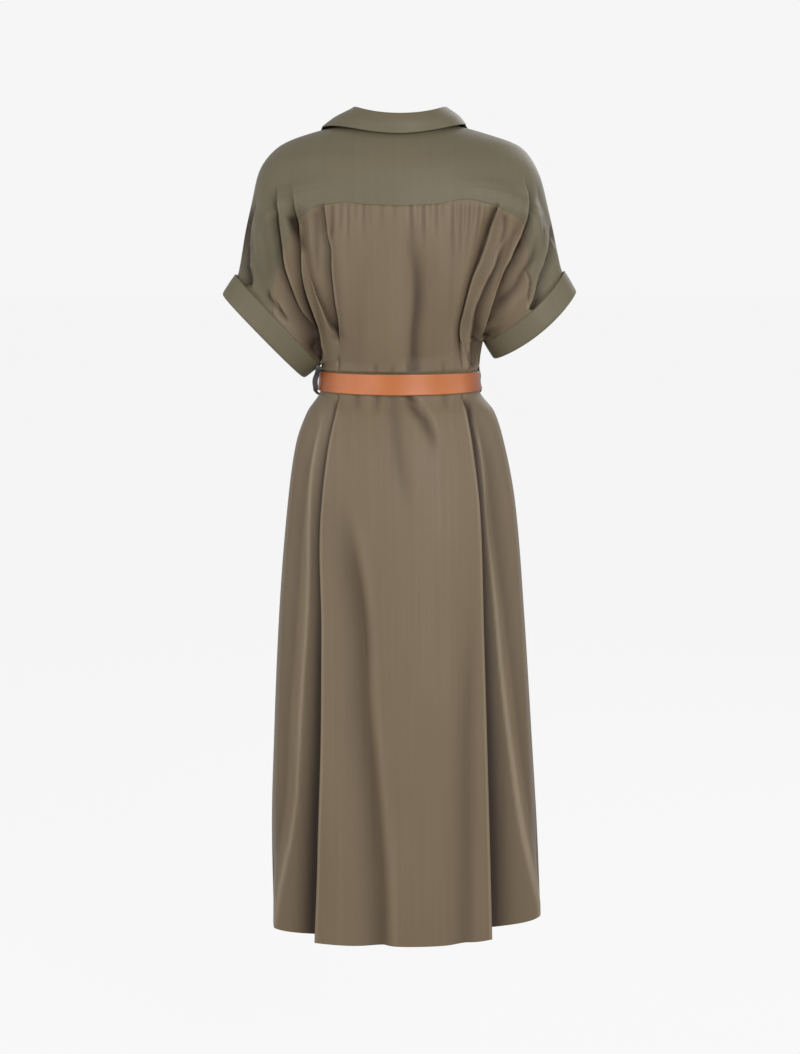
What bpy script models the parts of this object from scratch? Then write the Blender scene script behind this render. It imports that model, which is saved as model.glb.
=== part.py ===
"""Shirt dress, filled out as if worn, with its own belt.

A midi shirt dress with a turned-down collar, a back yoke cut in one with the tops of the grown-on sleeves,
turned-up sleeve cuffs, a button front, stitched-down waist pleats at the back, and a leather belt.

Frame: metres, +Z up, +Y to the wearer's back, +X to the wearer's left. The origin lies between the
shoulders, at the height where the shoulder seams meet the neck.

Every cloth piece is cut as a flat slab in two cloth coordinates and then bent onto one worn form:
    around  0 at the centre back, 1 at the side or over-arm line, 2 at the centre front; negative to the right
    drop    how far the same row of cloth lies below the origin at the centre back, in metres
"""

import math
from collections import namedtuple

import bmesh
import bpy
import numpy as np
from mathutils import Vector

# ---------------------------------------------------------------- driving dimensions
WALL = 0.0015
SEAM_GAP = 0.0009
STEP = 0.001
NECK_SEAM = 0.0060
YOKE_SEAM = 0.1104
HEM = 1.1740
SLEEVE_TOP = 0.0810
UNDERARM = 0.3250
OVERLAP = 0.015
PLACKET_LIFT = 0.0028
COLLAR_WALL = 0.0018
CUFF_WALL = 0.0014
CUFF_LAP = 0.17
CUFF_GRIP = 0.20
CUFF_DRIFT = 260.0
CUFF_LOW_STAND = 0.0005
CUFF_LOW_SHORT = 0.07
EASE = 0.024
BELT_MIDDLE = 0.3655
BELT_WIDTH = 0.0300
BELT_WALL = 0.0024
BELT_CLEAR = 0.0006
PLACKET_CLEAR = 0.0008
BAR_ALONG = 0.0160
LOOP_WIDTH = 0.0090
LOOP_WALL = 0.0012
LOOP_END = 0.00045
LOOP_LOW_END = 0.00178
BUTTON_DROPS = (0.168, 0.235, 0.300, 0.440, 0.540, 0.640, 0.740, 0.840)
LEFT, RIGHT = 1.0, -1.0

# ---------------------------------------------------------------- the worn form, one row for each section
# back, front: depth at the centre. lead, lead_in, lead_rise: how the row leaves the centre, sideways, inwards
# and upwards. near_in, near_out, near_up: the way it comes to its side end. pleat_left, pleat_right: how far
# the pleat lines stand from the centre back. sway: how far the centre back hangs to one side.
BackRow = namedtuple(
    "BackRow", "drop back lead lead_in lead_rise near_in near_out near_up pleat_left pleat_right sway")
BACK_ROWS = [
    BackRow(0.0060, 0.0620, 0.046, 0.000, 0.000, 0.005, 0.044, 0.001, 0.036, 0.036, 0.000),
    BackRow(0.0200, 0.0740, 0.064, 0.000, 0.001, 0.012, 0.050, 0.004, 0.052, 0.052, 0.000),
    BackRow(0.0340, 0.0840, 0.080, 0.000, 0.003, 0.018, 0.056, 0.012, 0.066, 0.066, 0.000),
    BackRow(0.0460, 0.0910, 0.105, 0.000, 0.003, 0.014, 0.068, 0.032, 0.076, 0.078, 0.000),
    BackRow(0.0680, 0.1000, 0.134, 0.004, 0.004, 0.020, 0.078, 0.076, 0.082, 0.086, 0.000),
    BackRow(0.0810, 0.1030, 0.154, 0.006, 0.003, 0.032, 0.080, 0.120, 0.085, 0.090, 0.000),
    BackRow(0.1104, 0.1060, 0.186, 0.014, 0.009, -0.013, 0.016, 0.180, 0.086, 0.093, 0.000),
    BackRow(0.1600, 0.1070, 0.150, 0.010, 0.000, -0.006, 0.018, 0.116, 0.087, 0.092, 0.000),
    BackRow(0.2200, 0.1050, 0.106, 0.004, 0.000, 0.020, 0.030, 0.064, 0.088, 0.091, 0.000),
    BackRow(0.2800, 0.1000, 0.070, 0.000, 0.002, 0.026, 0.042, 0.028, 0.089, 0.091, 0.000),
    BackRow(0.3250, 0.0910, 0.060, 0.000, 0.000, 0.010, 0.038, 0.006, 0.089, 0.091, 0.000),
    BackRow(0.3480, 0.0855, 0.062, 0.000, 0.000, 0.000, 0.046, 0.000, 0.088, 0.089, 0.000),
    BackRow(0.3820, 0.0865, 0.064, 0.000, 0.000, 0.000, 0.047, 0.000, 0.089, 0.090, 0.000),
    BackRow(0.4120, 0.0980, 0.074, 0.000, 0.000, 0.000, 0.056, 0.000, 0.093, 0.096, 0.000),
    BackRow(0.4600, 0.1120, 0.086, 0.000, 0.000, 0.000, 0.068, 0.000, 0.103, 0.105, -0.001),
    BackRow(0.5500, 0.1260, 0.098, 0.000, 0.000, 0.000, 0.080, 0.000, 0.113, 0.116, -0.002),
    BackRow(0.7200, 0.1400, 0.110, 0.000, 0.000, 0.000, 0.092, 0.000, 0.112, 0.122, -0.003),
    BackRow(0.9000, 0.1510, 0.122, 0.000, 0.000, 0.000, 0.104, 0.000, 0.113, 0.128, -0.005),
    BackRow(1.0500, 0.1590, 0.128, 0.000, 0.000, 0.000, 0.112, 0.000, 0.117, 0.133, -0.007),
    BackRow(1.1740, 0.1650, 0.130, 0.000, 0.000, 0.000, 0.116, 0.000, 0.121, 0.137, -0.009),
]
# front_drop and gap: the front edge's height and distance from the centre.
FrontRow = namedtuple("FrontRow", "drop front front_drop gap lead lead_in lead_rise near_in near_out near_up")
FRONT_ROWS = [
    FrontRow(0.0060, 0.078, 0.074, 0.040, 0.034, 0.000, 0.020, 0.005, 0.044, 0.001),
    FrontRow(0.0200, 0.086, 0.086, 0.035, 0.046, 0.000, 0.024, 0.012, 0.050, 0.004),
    FrontRow(0.0340, 0.094, 0.098, 0.030, 0.060, 0.000, 0.026, 0.018, 0.056, 0.012),
    FrontRow(0.0460, 0.101, 0.110, 0.025, 0.078, 0.001, 0.026, 0.014, 0.076, 0.032),
    FrontRow(0.0680, 0.112, 0.132, 0.015, 0.100, 0.003, 0.024, 0.020, 0.090, 0.076),
    FrontRow(0.0810, 0.118, 0.146, 0.007, 0.110, 0.004, 0.023, 0.030, 0.094, 0.114),
    FrontRow(0.1104, 0.126, 0.174, 0.000, 0.116, 0.006, 0.018, 0.034, 0.032, 0.136),
    FrontRow(0.1600, 0.130, 0.214, 0.000, 0.106, 0.004, 0.008, 0.042, 0.036, 0.096),
    FrontRow(0.2200, 0.127, 0.258, 0.000, 0.088, 0.000, 0.003, 0.044, 0.042, 0.058),
    FrontRow(0.2800, 0.115, 0.300, 0.000, 0.066, 0.000, 0.001, 0.030, 0.044, 0.026),
    FrontRow(0.3250, 0.100, 0.330, 0.000, 0.060, 0.000, 0.000, 0.010, 0.038, 0.006),
    FrontRow(0.3480, 0.0885, 0.349, 0.000, 0.062, 0.000, 0.000, 0.000, 0.046, 0.000),
    FrontRow(0.3820, 0.0895, 0.381, 0.000, 0.064, 0.000, 0.000, 0.000, 0.047, 0.000),
    FrontRow(0.4120, 0.098, 0.411, 0.000, 0.074, 0.000, 0.000, 0.000, 0.056, 0.000),
    FrontRow(0.4600, 0.108, 0.459, 0.000, 0.086, 0.000, 0.000, 0.000, 0.066, 0.000),
    FrontRow(0.5500, 0.118, 0.549, 0.000, 0.098, 0.000, 0.000, 0.000, 0.076, 0.000),
    FrontRow(0.7200, 0.129, 0.718, 0.000, 0.110, 0.000, 0.000, 0.000, 0.086, 0.000),
    FrontRow(0.9000, 0.139, 0.897, 0.000, 0.122, 0.000, 0.000, 0.000, 0.098, 0.000),
    FrontRow(1.0500, 0.147, 1.046, 0.000, 0.128, 0.000, 0.000, 0.000, 0.106, 0.000),
    FrontRow(1.1740, 0.153, 1.168, 0.000, 0.130, 0.000, 0.000, 0.000, 0.110, 0.000),
]

# How far the yoke's lower seam dips below its own row of cloth; above it where the dip is negative.
Dip = namedtuple("Dip", "around dip")
SEAM_DIPS = [
    Dip(-1.00, 0.000), Dip(-0.95, 0.004), Dip(-0.90, 0.018), Dip(-0.86, 0.025), Dip(-0.80, 0.019),
    Dip(-0.74, 0.011), Dip(-0.63, 0.007), Dip(-0.57, 0.000), Dip(-0.50, -0.006), Dip(-0.40, -0.004),
    Dip(-0.22, 0.000), Dip(0.22, 0.000), Dip(0.46, -0.003), Dip(0.54, 0.001), Dip(0.60, 0.009),
    Dip(0.68, 0.022), Dip(0.74, 0.026), Dip(0.85, 0.023), Dip(0.91, 0.008), Dip(0.96, 0.000),
    Dip(1.00, 0.000),
]
SEAM_DIP_END = 0.2700
SEAM_EASE = 1.7

# The side line: over the shoulder and down the arm, then from the underarm down the side seam.
Side = namedtuple("Side", "drop left left_drop right right_drop depth")
OVER_ARM = [
    Side(0.0060, 0.0740, -0.0060, 0.0740, -0.0060, -0.010),
    Side(0.0200, 0.1250, 0.0060, 0.1250, 0.0080, -0.012),
    Side(0.0340, 0.1760, 0.0265, 0.1780, 0.0290, -0.012),
    Side(0.0460, 0.2055, 0.0640, 0.2040, 0.0700, -0.010),
    Side(0.0560, 0.2160, 0.1080, 0.2150, 0.1120, -0.007),
    Side(0.0660, 0.2265, 0.1560, 0.2245, 0.1540, -0.004),
    Side(0.0740, 0.2325, 0.1930, 0.2315, 0.1880, -0.001),
    Side(0.0785, 0.2368, 0.2112, 0.2360, 0.2060, 0.000),
    Side(0.0810, 0.24105, 0.21736, 0.24023, 0.21265, 0.000),
]
SIDE_SEAM = [
    Side(0.3250, 0.12208, 0.3434, 0.12797, 0.31200, 0.000),
    Side(0.3320, 0.1128, 0.3357, 0.1212, 0.3002, 0.000),
    Side(0.3400, 0.1108, 0.3420, 0.1155, 0.3180, 0.000),
    Side(0.3480, 0.1130, 0.3490, 0.1130, 0.3470, 0.000),
    Side(0.3820, 0.1170, 0.3810, 0.1170, 0.3810, 0.000),
    Side(0.4120, 0.1360, 0.4110, 0.1385, 0.4110, 0.000),
    Side(0.4600, 0.1530, 0.4580, 0.1535, 0.4580, 0.000),
    Side(0.5500, 0.1660, 0.5480, 0.1705, 0.5480, 0.000),
    Side(0.7200, 0.1800, 0.7160, 0.1850, 0.7160, 0.000),
    Side(0.9000, 0.1885, 0.8940, 0.1970, 0.8940, 0.000),
    Side(1.0500, 0.1930, 1.0430, 0.2065, 1.0430, 0.000),
    Side(1.1740, 0.1910, 1.1810, 0.2120, 1.1620, 0.000),
]

# Where each row of cloth meets the sleeve's open end: 0 at its top, 180 at the underarm.
Turn = namedtuple("Turn", "drop angle")
TURNS = [Turn(0.0810, 0.0), Turn(0.1104, 82.0), Turn(0.1600, 106.0), Turn(0.2200, 130.0), Turn(0.2800, 158.0),
         Turn(0.3250, 180.0)]

# The turned-up cuffs, seen from behind: the free edge's two ends, the folded edge's two ends, how deep the
# ring is from front to back and how far its middle bows out along the sleeve.
Cuff = namedtuple(
    "Cuff", "top_x top_drop low_x low_drop fold_top_x fold_top_drop fold_low_x fold_low_drop depth bow")
CUFFS = {
    LEFT: Cuff(0.2375, 0.2125, 0.1180, 0.3400, 0.2578, 0.2411, 0.1420, 0.3600, 0.054, -0.001),
    RIGHT: Cuff(0.2370, 0.2075, 0.1255, 0.3077, 0.2560, 0.2378, 0.1400, 0.3330, 0.054, 0.009),
}

# Soft folds, seen from behind or from the front: three points that the valley runs through, how far the cloth
# falls away to it on the left and on the right, its depth, and the share of its length over which it fades in
# and out.
Fold = namedtuple("Fold", "x1 z1 x2 z2 x3 z3 left right depth fade_in fade_out")
BACK_FOLDS = [
    Fold(0.146, -0.112, 0.139, -0.215, 0.110, -0.342, 0.018, 0.022, 0.0150, 0.15, 0.12),
    Fold(0.180, -0.100, 0.166, -0.210, 0.118, -0.338, 0.015, 0.019, 0.0090, 0.25, 0.15),
    Fold(0.108, -0.112, 0.100, -0.205, 0.089, -0.318, 0.020, 0.016, 0.0080, 0.20, 0.10),
    Fold(-0.017, -0.125, -0.022, -0.235, -0.018, -0.345, 0.036, 0.036, 0.0060, 0.50, 0.12),
    Fold(-0.136, -0.115, -0.104, -0.235, -0.090, -0.325, 0.018, 0.024, 0.0150, 0.15, 0.10),
    Fold(-0.140, -0.195, -0.112, -0.270, -0.106, -0.335, 0.014, 0.014, 0.0050, 0.30, 0.15),
    Fold(-0.180, -0.120, -0.150, -0.225, -0.124, -0.318, 0.016, 0.018, 0.0120, 0.20, 0.12),
    Fold(0.080, -0.580, 0.055, -0.780, 0.028, -1.172, 0.040, 0.034, 0.0075, 0.30, 0.00),
    Fold(-0.014, -0.385, -0.030, -0.410, -0.050, -0.450, 0.010, 0.012, 0.0035, 0.10, 0.50),
    Fold(-0.098, -0.760, -0.098, -0.900, -0.094, -1.172, 0.030, 0.022, 0.0050, 0.40, 0.00),
]
FRONT_FOLDS = [
    Fold(0.148, -0.130, 0.128, -0.235, 0.104, -0.340, 0.016, 0.022, 0.0090, 0.20, 0.12),
    Fold(-0.150, -0.130, -0.126, -0.240, -0.102, -0.318, 0.022, 0.016, 0.0090, 0.20, 0.12),
    Fold(0.084, -0.235, 0.074, -0.290, 0.062, -0.344, 0.013, 0.015, 0.0060, 0.40, 0.10),
    Fold(-0.086, -0.240, -0.075, -0.290, -0.060, -0.344, 0.015, 0.013, 0.0065, 0.40, 0.10),
    Fold(0.050, -0.388, 0.064, -0.560, 0.074, -1.166, 0.020, 0.028, 0.0110, 0.35, 0.00),
    Fold(-0.048, -0.388, -0.066, -0.560, -0.078, -1.166, 0.028, 0.020, 0.0110, 0.35, 0.00),
    Fold(0.086, -0.388, 0.112, -0.560, 0.135, -1.166, 0.018, 0.022, 0.0120, 0.35, 0.00),
    Fold(-0.084, -0.388, -0.114, -0.560, -0.142, -1.166, 0.022, 0.018, 0.0120, 0.35, 0.00),
]

# The two back pleats: how far each is laid under, how far its bottom is carried back beneath the centre
# panel, and over what share of the cloth it turns in and comes out again.
Pleat = namedtuple("Pleat", "side depth lean turn rise grow")
PLEATS = [Pleat(LEFT, 0.040, 0.034, 0.060, 0.300, 0.30), Pleat(RIGHT, 0.042, 0.036, 0.060, 0.300, 0.30)]
PLEAT_LINE = 0.5
PLEAT_TOP = 0.388
STITCHED_TOP = 0.306
STITCHED_DEPTH = 0.0022

# The collar: how far the folded edge stands out from and above the neck seam, the row of cloth that the
# outer edge lies on and how far it stays off it.
Station = namedtuple("Station", "around fold_out fold_up edge_drop edge_lift")
COLLAR = [
    Station(-2.00, 0.0035, 0.0080, 0.0520, 0.0028),
    Station(-1.50, 0.0000, 0.0170, 0.0300, 0.0030),
    Station(-1.00, -0.0060, 0.0240, 0.0118, 0.0050),
    Station(-0.50, 0.0000, 0.0262, 0.0120, 0.0060),
    Station(0.00, 0.0020, 0.0262, 0.0130, 0.0065),
    Station(0.50, 0.0000, 0.0262, 0.0130, 0.0060),
    Station(1.00, -0.0060, 0.0240, 0.0165, 0.0050),
    Station(1.50, 0.0000, 0.0170, 0.0310, 0.0030),
    Station(2.00, 0.0035, 0.0080, 0.0520, 0.0028),
]

# The belt's way round: how far along the waist from the centre front (positive to the wearer's left, going
# round by the back) and how far its inner face stands off the cloth.
BeltPoint = namedtuple("BeltPoint", "along off")

# ---------------------------------------------------------------- colours
OLIVE = (0.165, 0.146, 0.103)
KHAKI = (0.187, 0.150, 0.106)
TAN = (0.52, 0.235, 0.105)
DARK_LOOP = (0.10, 0.098, 0.088)
HORN = (0.06, 0.045, 0.032)
BRASS = (0.62, 0.50, 0.30)


# ---------------------------------------------------------------- the worn form
def smooth(rows, column, at):
    """Values of one table column between its rows, without overshoot."""
    x = np.array([r.drop if hasattr(r, "drop") else r.around for r in rows])
    y = np.array([getattr(r, column) for r in rows])
    h = np.diff(x)
    slope = np.diff(y) / h
    tangent = np.zeros_like(y)
    for i in range(1, len(x) - 1):
        if slope[i - 1] * slope[i] > 0.0:
            a, b = 2.0 * h[i] + h[i - 1], h[i] + 2.0 * h[i - 1]
            tangent[i] = (a + b) / (a / slope[i - 1] + b / slope[i])
    tangent[0], tangent[-1] = slope[0], slope[-1]
    k = np.clip(np.searchsorted(x, at) - 1, 0, len(h) - 1)
    t = (at - x[k]) / h[k]
    inside = np.clip(t, 0.0, 1.0)
    hermite = (
        (1.0 + 2.0 * inside) * (1.0 - inside) ** 2 * y[k]
        + inside * (1.0 - inside) ** 2 * h[k] * tangent[k]
        + inside**2 * (3.0 - 2.0 * inside) * y[k + 1]
        + inside**2 * (inside - 1.0) * h[k] * tangent[k + 1]
    )
    return hermite + np.where(t > 1.0, (t - 1.0) * h[k] * tangent[k + 1], 0.0) + np.where(
        t < 0.0, t * h[k] * tangent[k], 0.0)


def ramp(value):
    """Smooth step from 0 to 1."""
    value = np.clip(value, 0.0, 1.0)
    return value * value * (3.0 - 2.0 * value)


def stack(x, y, z):
    """Three arrays as one array of points."""
    x, y, z = np.broadcast_arrays(x, y, z)
    return np.stack([x, y, z], axis=-1)


def unit(vectors):
    """Vectors of length one."""
    return vectors / np.maximum(np.linalg.norm(vectors, axis=-1, keepdims=True), 1e-12)


def cuff_ring(side, angle, along):
    """A point on a cuff: angle from its top through the back, along 0 at the free edge, 1 at the fold."""
    c = CUFFS[side]
    a = np.radians(angle)
    top = stack(c.top_x + (c.fold_top_x - c.top_x) * along, 0.0,
                -c.top_drop - (c.fold_top_drop - c.top_drop) * along)
    low = stack(c.low_x + (c.fold_low_x - c.low_x) * along, 0.0,
                -c.low_drop - (c.fold_low_drop - c.low_drop) * along)
    middle, reach = (top + low) / 2.0, (top - low) / 2.0
    out = unit(stack(np.abs(reach[..., 2]), 0.0 * reach[..., 0], -np.abs(reach[..., 0])))
    ring = middle + np.cos(a)[..., None] * reach + c.bow * (np.sin(a) ** 2)[..., None] * out
    ring[..., 1] += np.sin(a) * c.depth
    ring[..., 0] *= side
    return ring


def side_point(side, drop, back):
    """The end of a row at the shoulder line, the sleeve's open end or the side seam."""
    name = "left" if side == LEFT else "right"
    arm = stack(side * smooth(OVER_ARM, name, drop), smooth(OVER_ARM, "depth", drop),
                -smooth(OVER_ARM, name + "_drop", drop))
    seam = stack(side * smooth(SIDE_SEAM, name, drop), smooth(SIDE_SEAM, "depth", drop),
                 -smooth(SIDE_SEAM, name + "_drop", drop))
    angle = np.clip(smooth(TURNS, "angle", drop), 0.0, 180.0) * np.where(back, 1.0, -1.0)
    ring = cuff_ring(side, angle, np.full_like(drop, CUFF_LAP))
    top = (drop < SLEEVE_TOP)[..., None]
    low = (drop > UNDERARM)[..., None]
    return np.where(top, arm, np.where(low, seam, ring))


def pleat_share(side):
    """For each row, the share of the quarter where the pleat line stands."""
    shares = []
    for row in BACK_ROWS:
        end = side_point(side, np.array([row.drop]), np.array([True]))[0, 0] * side
        want = (row.pleat_left if side == LEFT else row.pleat_right) + row.sway * side * -1.0
        t = np.linspace(0.0, 1.0, 401)
        x = 3.0 * (1.0 - t) ** 2 * t * row.lead + 3.0 * (1.0 - t) * t**2 * (end - row.near_in) + t**3 * end
        shares.append(float(np.interp(want, x, t)))
    return shares


Share = namedtuple("Share", "drop left right")


def quarter(around, drop, back, side, shares):
    """Point of the plain worn form for one side."""
    reach = np.where(back, np.abs(around), 2.0 - np.abs(around))
    line = smooth(shares, "left" if side == LEFT else "right", drop)
    t = np.where(reach < PLEAT_LINE, reach / PLEAT_LINE * line,
                 line + (reach - PLEAT_LINE) / (1.0 - PLEAT_LINE) * (1.0 - line))
    t_front = reach * (0.9 + 0.1 * reach)
    t = np.where(back, t, t_front)
    out = np.where(back, 1.0, -1.0)
    height = np.where(back, drop, smooth(FRONT_ROWS, "front_drop", drop))
    gap = np.where(back, 0.0, smooth(FRONT_ROWS, "gap", drop))
    depth = np.where(back, smooth(BACK_ROWS, "back", drop), smooth(FRONT_ROWS, "front", drop))
    handles = {name: np.where(back, smooth(BACK_ROWS, name, drop), smooth(FRONT_ROWS, name, drop))
               for name in ("lead", "lead_in", "lead_rise", "near_in", "near_out", "near_up")}
    middle = -gap / (3.0 * np.abs(handles["lead"]))
    past = ~back & (t < middle)
    t = np.where(past, 2.0 * middle - t, t)
    start = stack(gap, depth * out, -height)
    end = side_point(side, drop, back) * np.array([side, 1.0, 1.0])
    first = start + stack(handles["lead"], -handles["lead_in"] * out, handles["lead_rise"])
    second = end + stack(-handles["near_in"], handles["near_out"] * out, handles["near_up"])
    t = t[..., None]
    point = ((1.0 - t) ** 3 * start + 3.0 * (1.0 - t) ** 2 * t * first
             + 3.0 * (1.0 - t) * t**2 * second + t**3 * end)
    point[..., 0] *= np.where(past, -side, side)
    angle = np.clip(smooth(TURNS, "angle", drop), 0.0, 180.0) * out
    cuff_high = abs(CUFFS[side].fold_top_drop - CUFFS[side].top_drop) / 0.82
    short = np.clip(1.0 - reach, 0.0, 0.12)
    beyond = np.maximum(SLEEVE_TOP - drop, 0.0) * 3.2 + np.maximum(drop - UNDERARM, 0.0) * 1.71
    drift = CUFF_DRIFT * short * np.cos(np.radians(angle)) * out
    guided = cuff_ring(side, angle + drift, CUFF_LAP - (short * CUFF_GRIP + beyond) / cuff_high)
    hold = ramp((reach - 0.87) / 0.082) * ramp((drop - 0.0765) / 0.004) * ramp((0.334 - drop) / 0.007)
    point = point + (guided - point) * hold[..., None]
    centre = 1.0 - ramp(np.abs(t[..., 0]))
    point[..., 0] += smooth(BACK_ROWS, "sway", drop) * centre
    return point


def plain_form(around, drop, back):
    """Point of the plain worn form, its rows eased into each other over the chest and shoulder blades."""
    reach = np.where(back, np.abs(around), 2.0 - np.abs(around))
    ease = EASE * ramp((drop - 0.046) / 0.034) * ramp((0.230 - drop) / 0.070) * ramp((0.93 - reach) / 0.30)
    point = 0.0
    for share, weight in ((-1.0, 0.11), (-0.5, 0.24), (0.0, 0.30), (0.5, 0.24), (1.0, 0.11)):
        near = drop + ease * share
        left = quarter(around, near, back, LEFT, SHARES)
        right = quarter(around, near, back, RIGHT, SHARES)
        point = point + weight * np.where((around >= 0.0)[..., None], left, right)
    return point


def crosses(around, drop, back, change):
    """Which half a nearby point belongs to: the two halves join at the shoulder and the side seam."""
    joined = (drop < SLEEVE_TOP) | (drop > UNDERARM)
    return np.where(joined, np.abs(around + change) <= 1.0, back)


def normal_of(form, around, drop, back):
    """Outward direction of a form."""
    a = form(around + STEP, drop, crosses(around, drop, back, STEP))
    b = form(around - STEP, drop, crosses(around, drop, back, -STEP))
    c = form(around, drop + STEP / 4.0, back)
    d = form(around, drop - STEP / 4.0, back)
    return unit(np.cross(a - b, c - d))


def valley(fold, x, z):
    """Depth of one soft fold at points seen straight on."""
    s = np.linspace(0.0, 1.0, 13)
    blend = [(1.0 - s) * (1.0 - 2.0 * s), 4.0 * s * (1.0 - s), s * (2.0 * s - 1.0)]
    px = blend[0] * fold.x1 + blend[1] * fold.x2 + blend[2] * fold.x3
    pz = blend[0] * fold.z1 + blend[1] * fold.z2 + blend[2] * fold.z3
    share = np.clip((fold.z1 - z) / (fold.z1 - fold.z3), -0.2, 1.2)
    line = np.interp(share, (fold.z1 - pz) / (fold.z1 - fold.z3), px)
    slope = np.interp(share, (fold.z1 - pz) / (fold.z1 - fold.z3), np.gradient(px) / np.gradient(pz))
    away = (x - line) / np.sqrt(1.0 + slope**2)
    width = np.where(away > 0.0, fold.left, fold.right)
    bump = np.exp(-2.5 * (away / width) ** 2)
    fade = ramp((share + 0.02) / max(fold.fade_in, 0.01)) * (
        1.0 if fold.fade_out == 0.0 else ramp((1.02 - share) / fold.fade_out))
    return fold.depth * bump * fade


def worn_form(around, drop, back):
    """Point of the worn form with its folds and pleats."""
    base = plain_form(around, drop, back)
    out = normal_of(plain_form, around, drop, back)
    x, z = base[..., 0], base[..., 2]
    sink = np.zeros_like(x)
    for fold in BACK_FOLDS:
        sink = sink + np.where(back, valley(fold, x, z), 0.0)
    for fold in FRONT_FOLDS:
        sink = sink + np.where(back, 0.0, valley(fold, x, z))
    edge = ramp(np.abs(np.abs(around) - 1.0) / 0.12)
    belted = 1.0 - ramp((drop - 0.332) / 0.012) * ramp((0.394 - drop) / 0.012)
    top = ramp((drop - YOKE_SEAM + 0.020) / 0.020)
    sink = sink * edge * belted * top * ramp((np.abs(2.0 - np.abs(around))) / 0.10)
    shift = np.zeros_like(x)
    for pleat in PLEATS:
        reach = around * pleat.side - PLEAT_LINE
        bump = ramp(reach / pleat.turn) * (1.0 - ramp((reach - pleat.turn) / pleat.rise))
        grow = 1.0 - np.exp(-np.maximum(drop - PLEAT_TOP, 0.0) / pleat.grow)
        grow = grow / (1.0 - math.exp(-(HEM - PLEAT_TOP) / pleat.grow))
        begin = ramp((drop - PLEAT_TOP) / 0.02)
        bump = np.where(back, bump, 0.0) * begin
        sink = sink + bump * grow * pleat.depth
        shift = shift - bump * grow * pleat.lean * pleat.side
        tuck = np.exp(-(((reach - 0.01) / 0.022) ** 2)) * ramp((drop - STITCHED_TOP) / 0.02)
        tuck = tuck * ramp((PLEAT_TOP + 0.02 - drop) / 0.02) * belted
        sink = sink + np.where(back, tuck, 0.0) * STITCHED_DEPTH
    point = base - out * sink[..., None]
    point[..., 0] += shift
    return point


def cloth_normal(around, drop, back):
    """Outward direction of the worn form."""
    return normal_of(worn_form, around, drop, back)


# ---------------------------------------------------------------- slabs
def new_object(name, bm, colour, roughness, metallic=0.0, smooth_shading=True):
    """Make a solid from a bmesh, with its own material."""
    bmesh.ops.recalc_face_normals(bm, faces=bm.faces)
    if bm.calc_volume(signed=True) < 0.0:
        bmesh.ops.reverse_faces(bm, faces=bm.faces)
    mesh = bpy.data.meshes.new(name)
    bm.to_mesh(mesh)
    bm.free()
    for polygon in mesh.polygons:
        polygon.use_smooth = smooth_shading
    material = bpy.data.materials.new(name)
    material.use_nodes = True
    shader = material.node_tree.nodes["Principled BSDF"]
    shader.inputs["Base Color"].default_value = (*colour, 1.0)
    shader.inputs["Roughness"].default_value = roughness
    shader.inputs["Metallic"].default_value = metallic
    mesh.materials.append(material)
    solid = bpy.data.objects.new(name, mesh)
    bpy.data.collections["shirt_dress"].objects.link(solid)
    return solid


def slab(columns, rows, place, holes=()):
    """A flat slab with the given lines across and down, bent into place. place takes the line numbers."""
    bm = bmesh.new()
    bmesh.ops.create_grid(bm, x_segments=len(columns) - 1, y_segments=len(rows) - 1, size=0.5)
    across, down = len(columns) - 1, len(rows) - 1
    for vertex in bm.verts:
        vertex.co.x = round((vertex.co.x + 0.5) * across)
        vertex.co.y = round((vertex.co.y + 0.5) * down)
    if holes:
        cut = [f for f in bm.faces
               if (int(f.calc_center_median().x), int(f.calc_center_median().y)) in holes]
        bmesh.ops.delete(bm, geom=cut, context="FACES")
    extruded = bmesh.ops.extrude_face_region(bm, geom=list(bm.faces))
    for element in extruded["geom"]:
        if isinstance(element, bmesh.types.BMVert):
            element.co.z = 1.0
    where = np.array([v.co[:] for v in bm.verts])
    i, j = where[:, 0].astype(int), where[:, 1].astype(int)
    points = place(np.array(columns)[i], np.array(rows)[j], where[:, 2])
    for vertex, point in zip(bm.verts, points):
        vertex.co = point
    return bm


def spread(*parts):
    """Line positions: spread(start, (end, count), (end, count) ...)."""
    lines = [parts[0]]
    for end, count in parts[1:]:
        start = lines[-1]
        lines.extend(start + (end - start) * (k + 1) / count for k in range(count))
    return lines


def across_size(vectors, others):
    """Length of the part of each vector that is square to the other."""
    along = unit(others)
    return np.linalg.norm(vectors - along * (vectors * along).sum(-1, keepdims=True), axis=-1)


def dipped(around, drop):
    """Rows of the back, carried down or up with the yoke's lower seam."""
    above = ramp((drop - SLEEVE_TOP) / (YOKE_SEAM - SLEEVE_TOP))
    below = ramp((SEAM_DIP_END - drop) / (SEAM_DIP_END - YOKE_SEAM))
    return drop + smooth(SEAM_DIPS, "dip", around) * above * below


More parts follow.
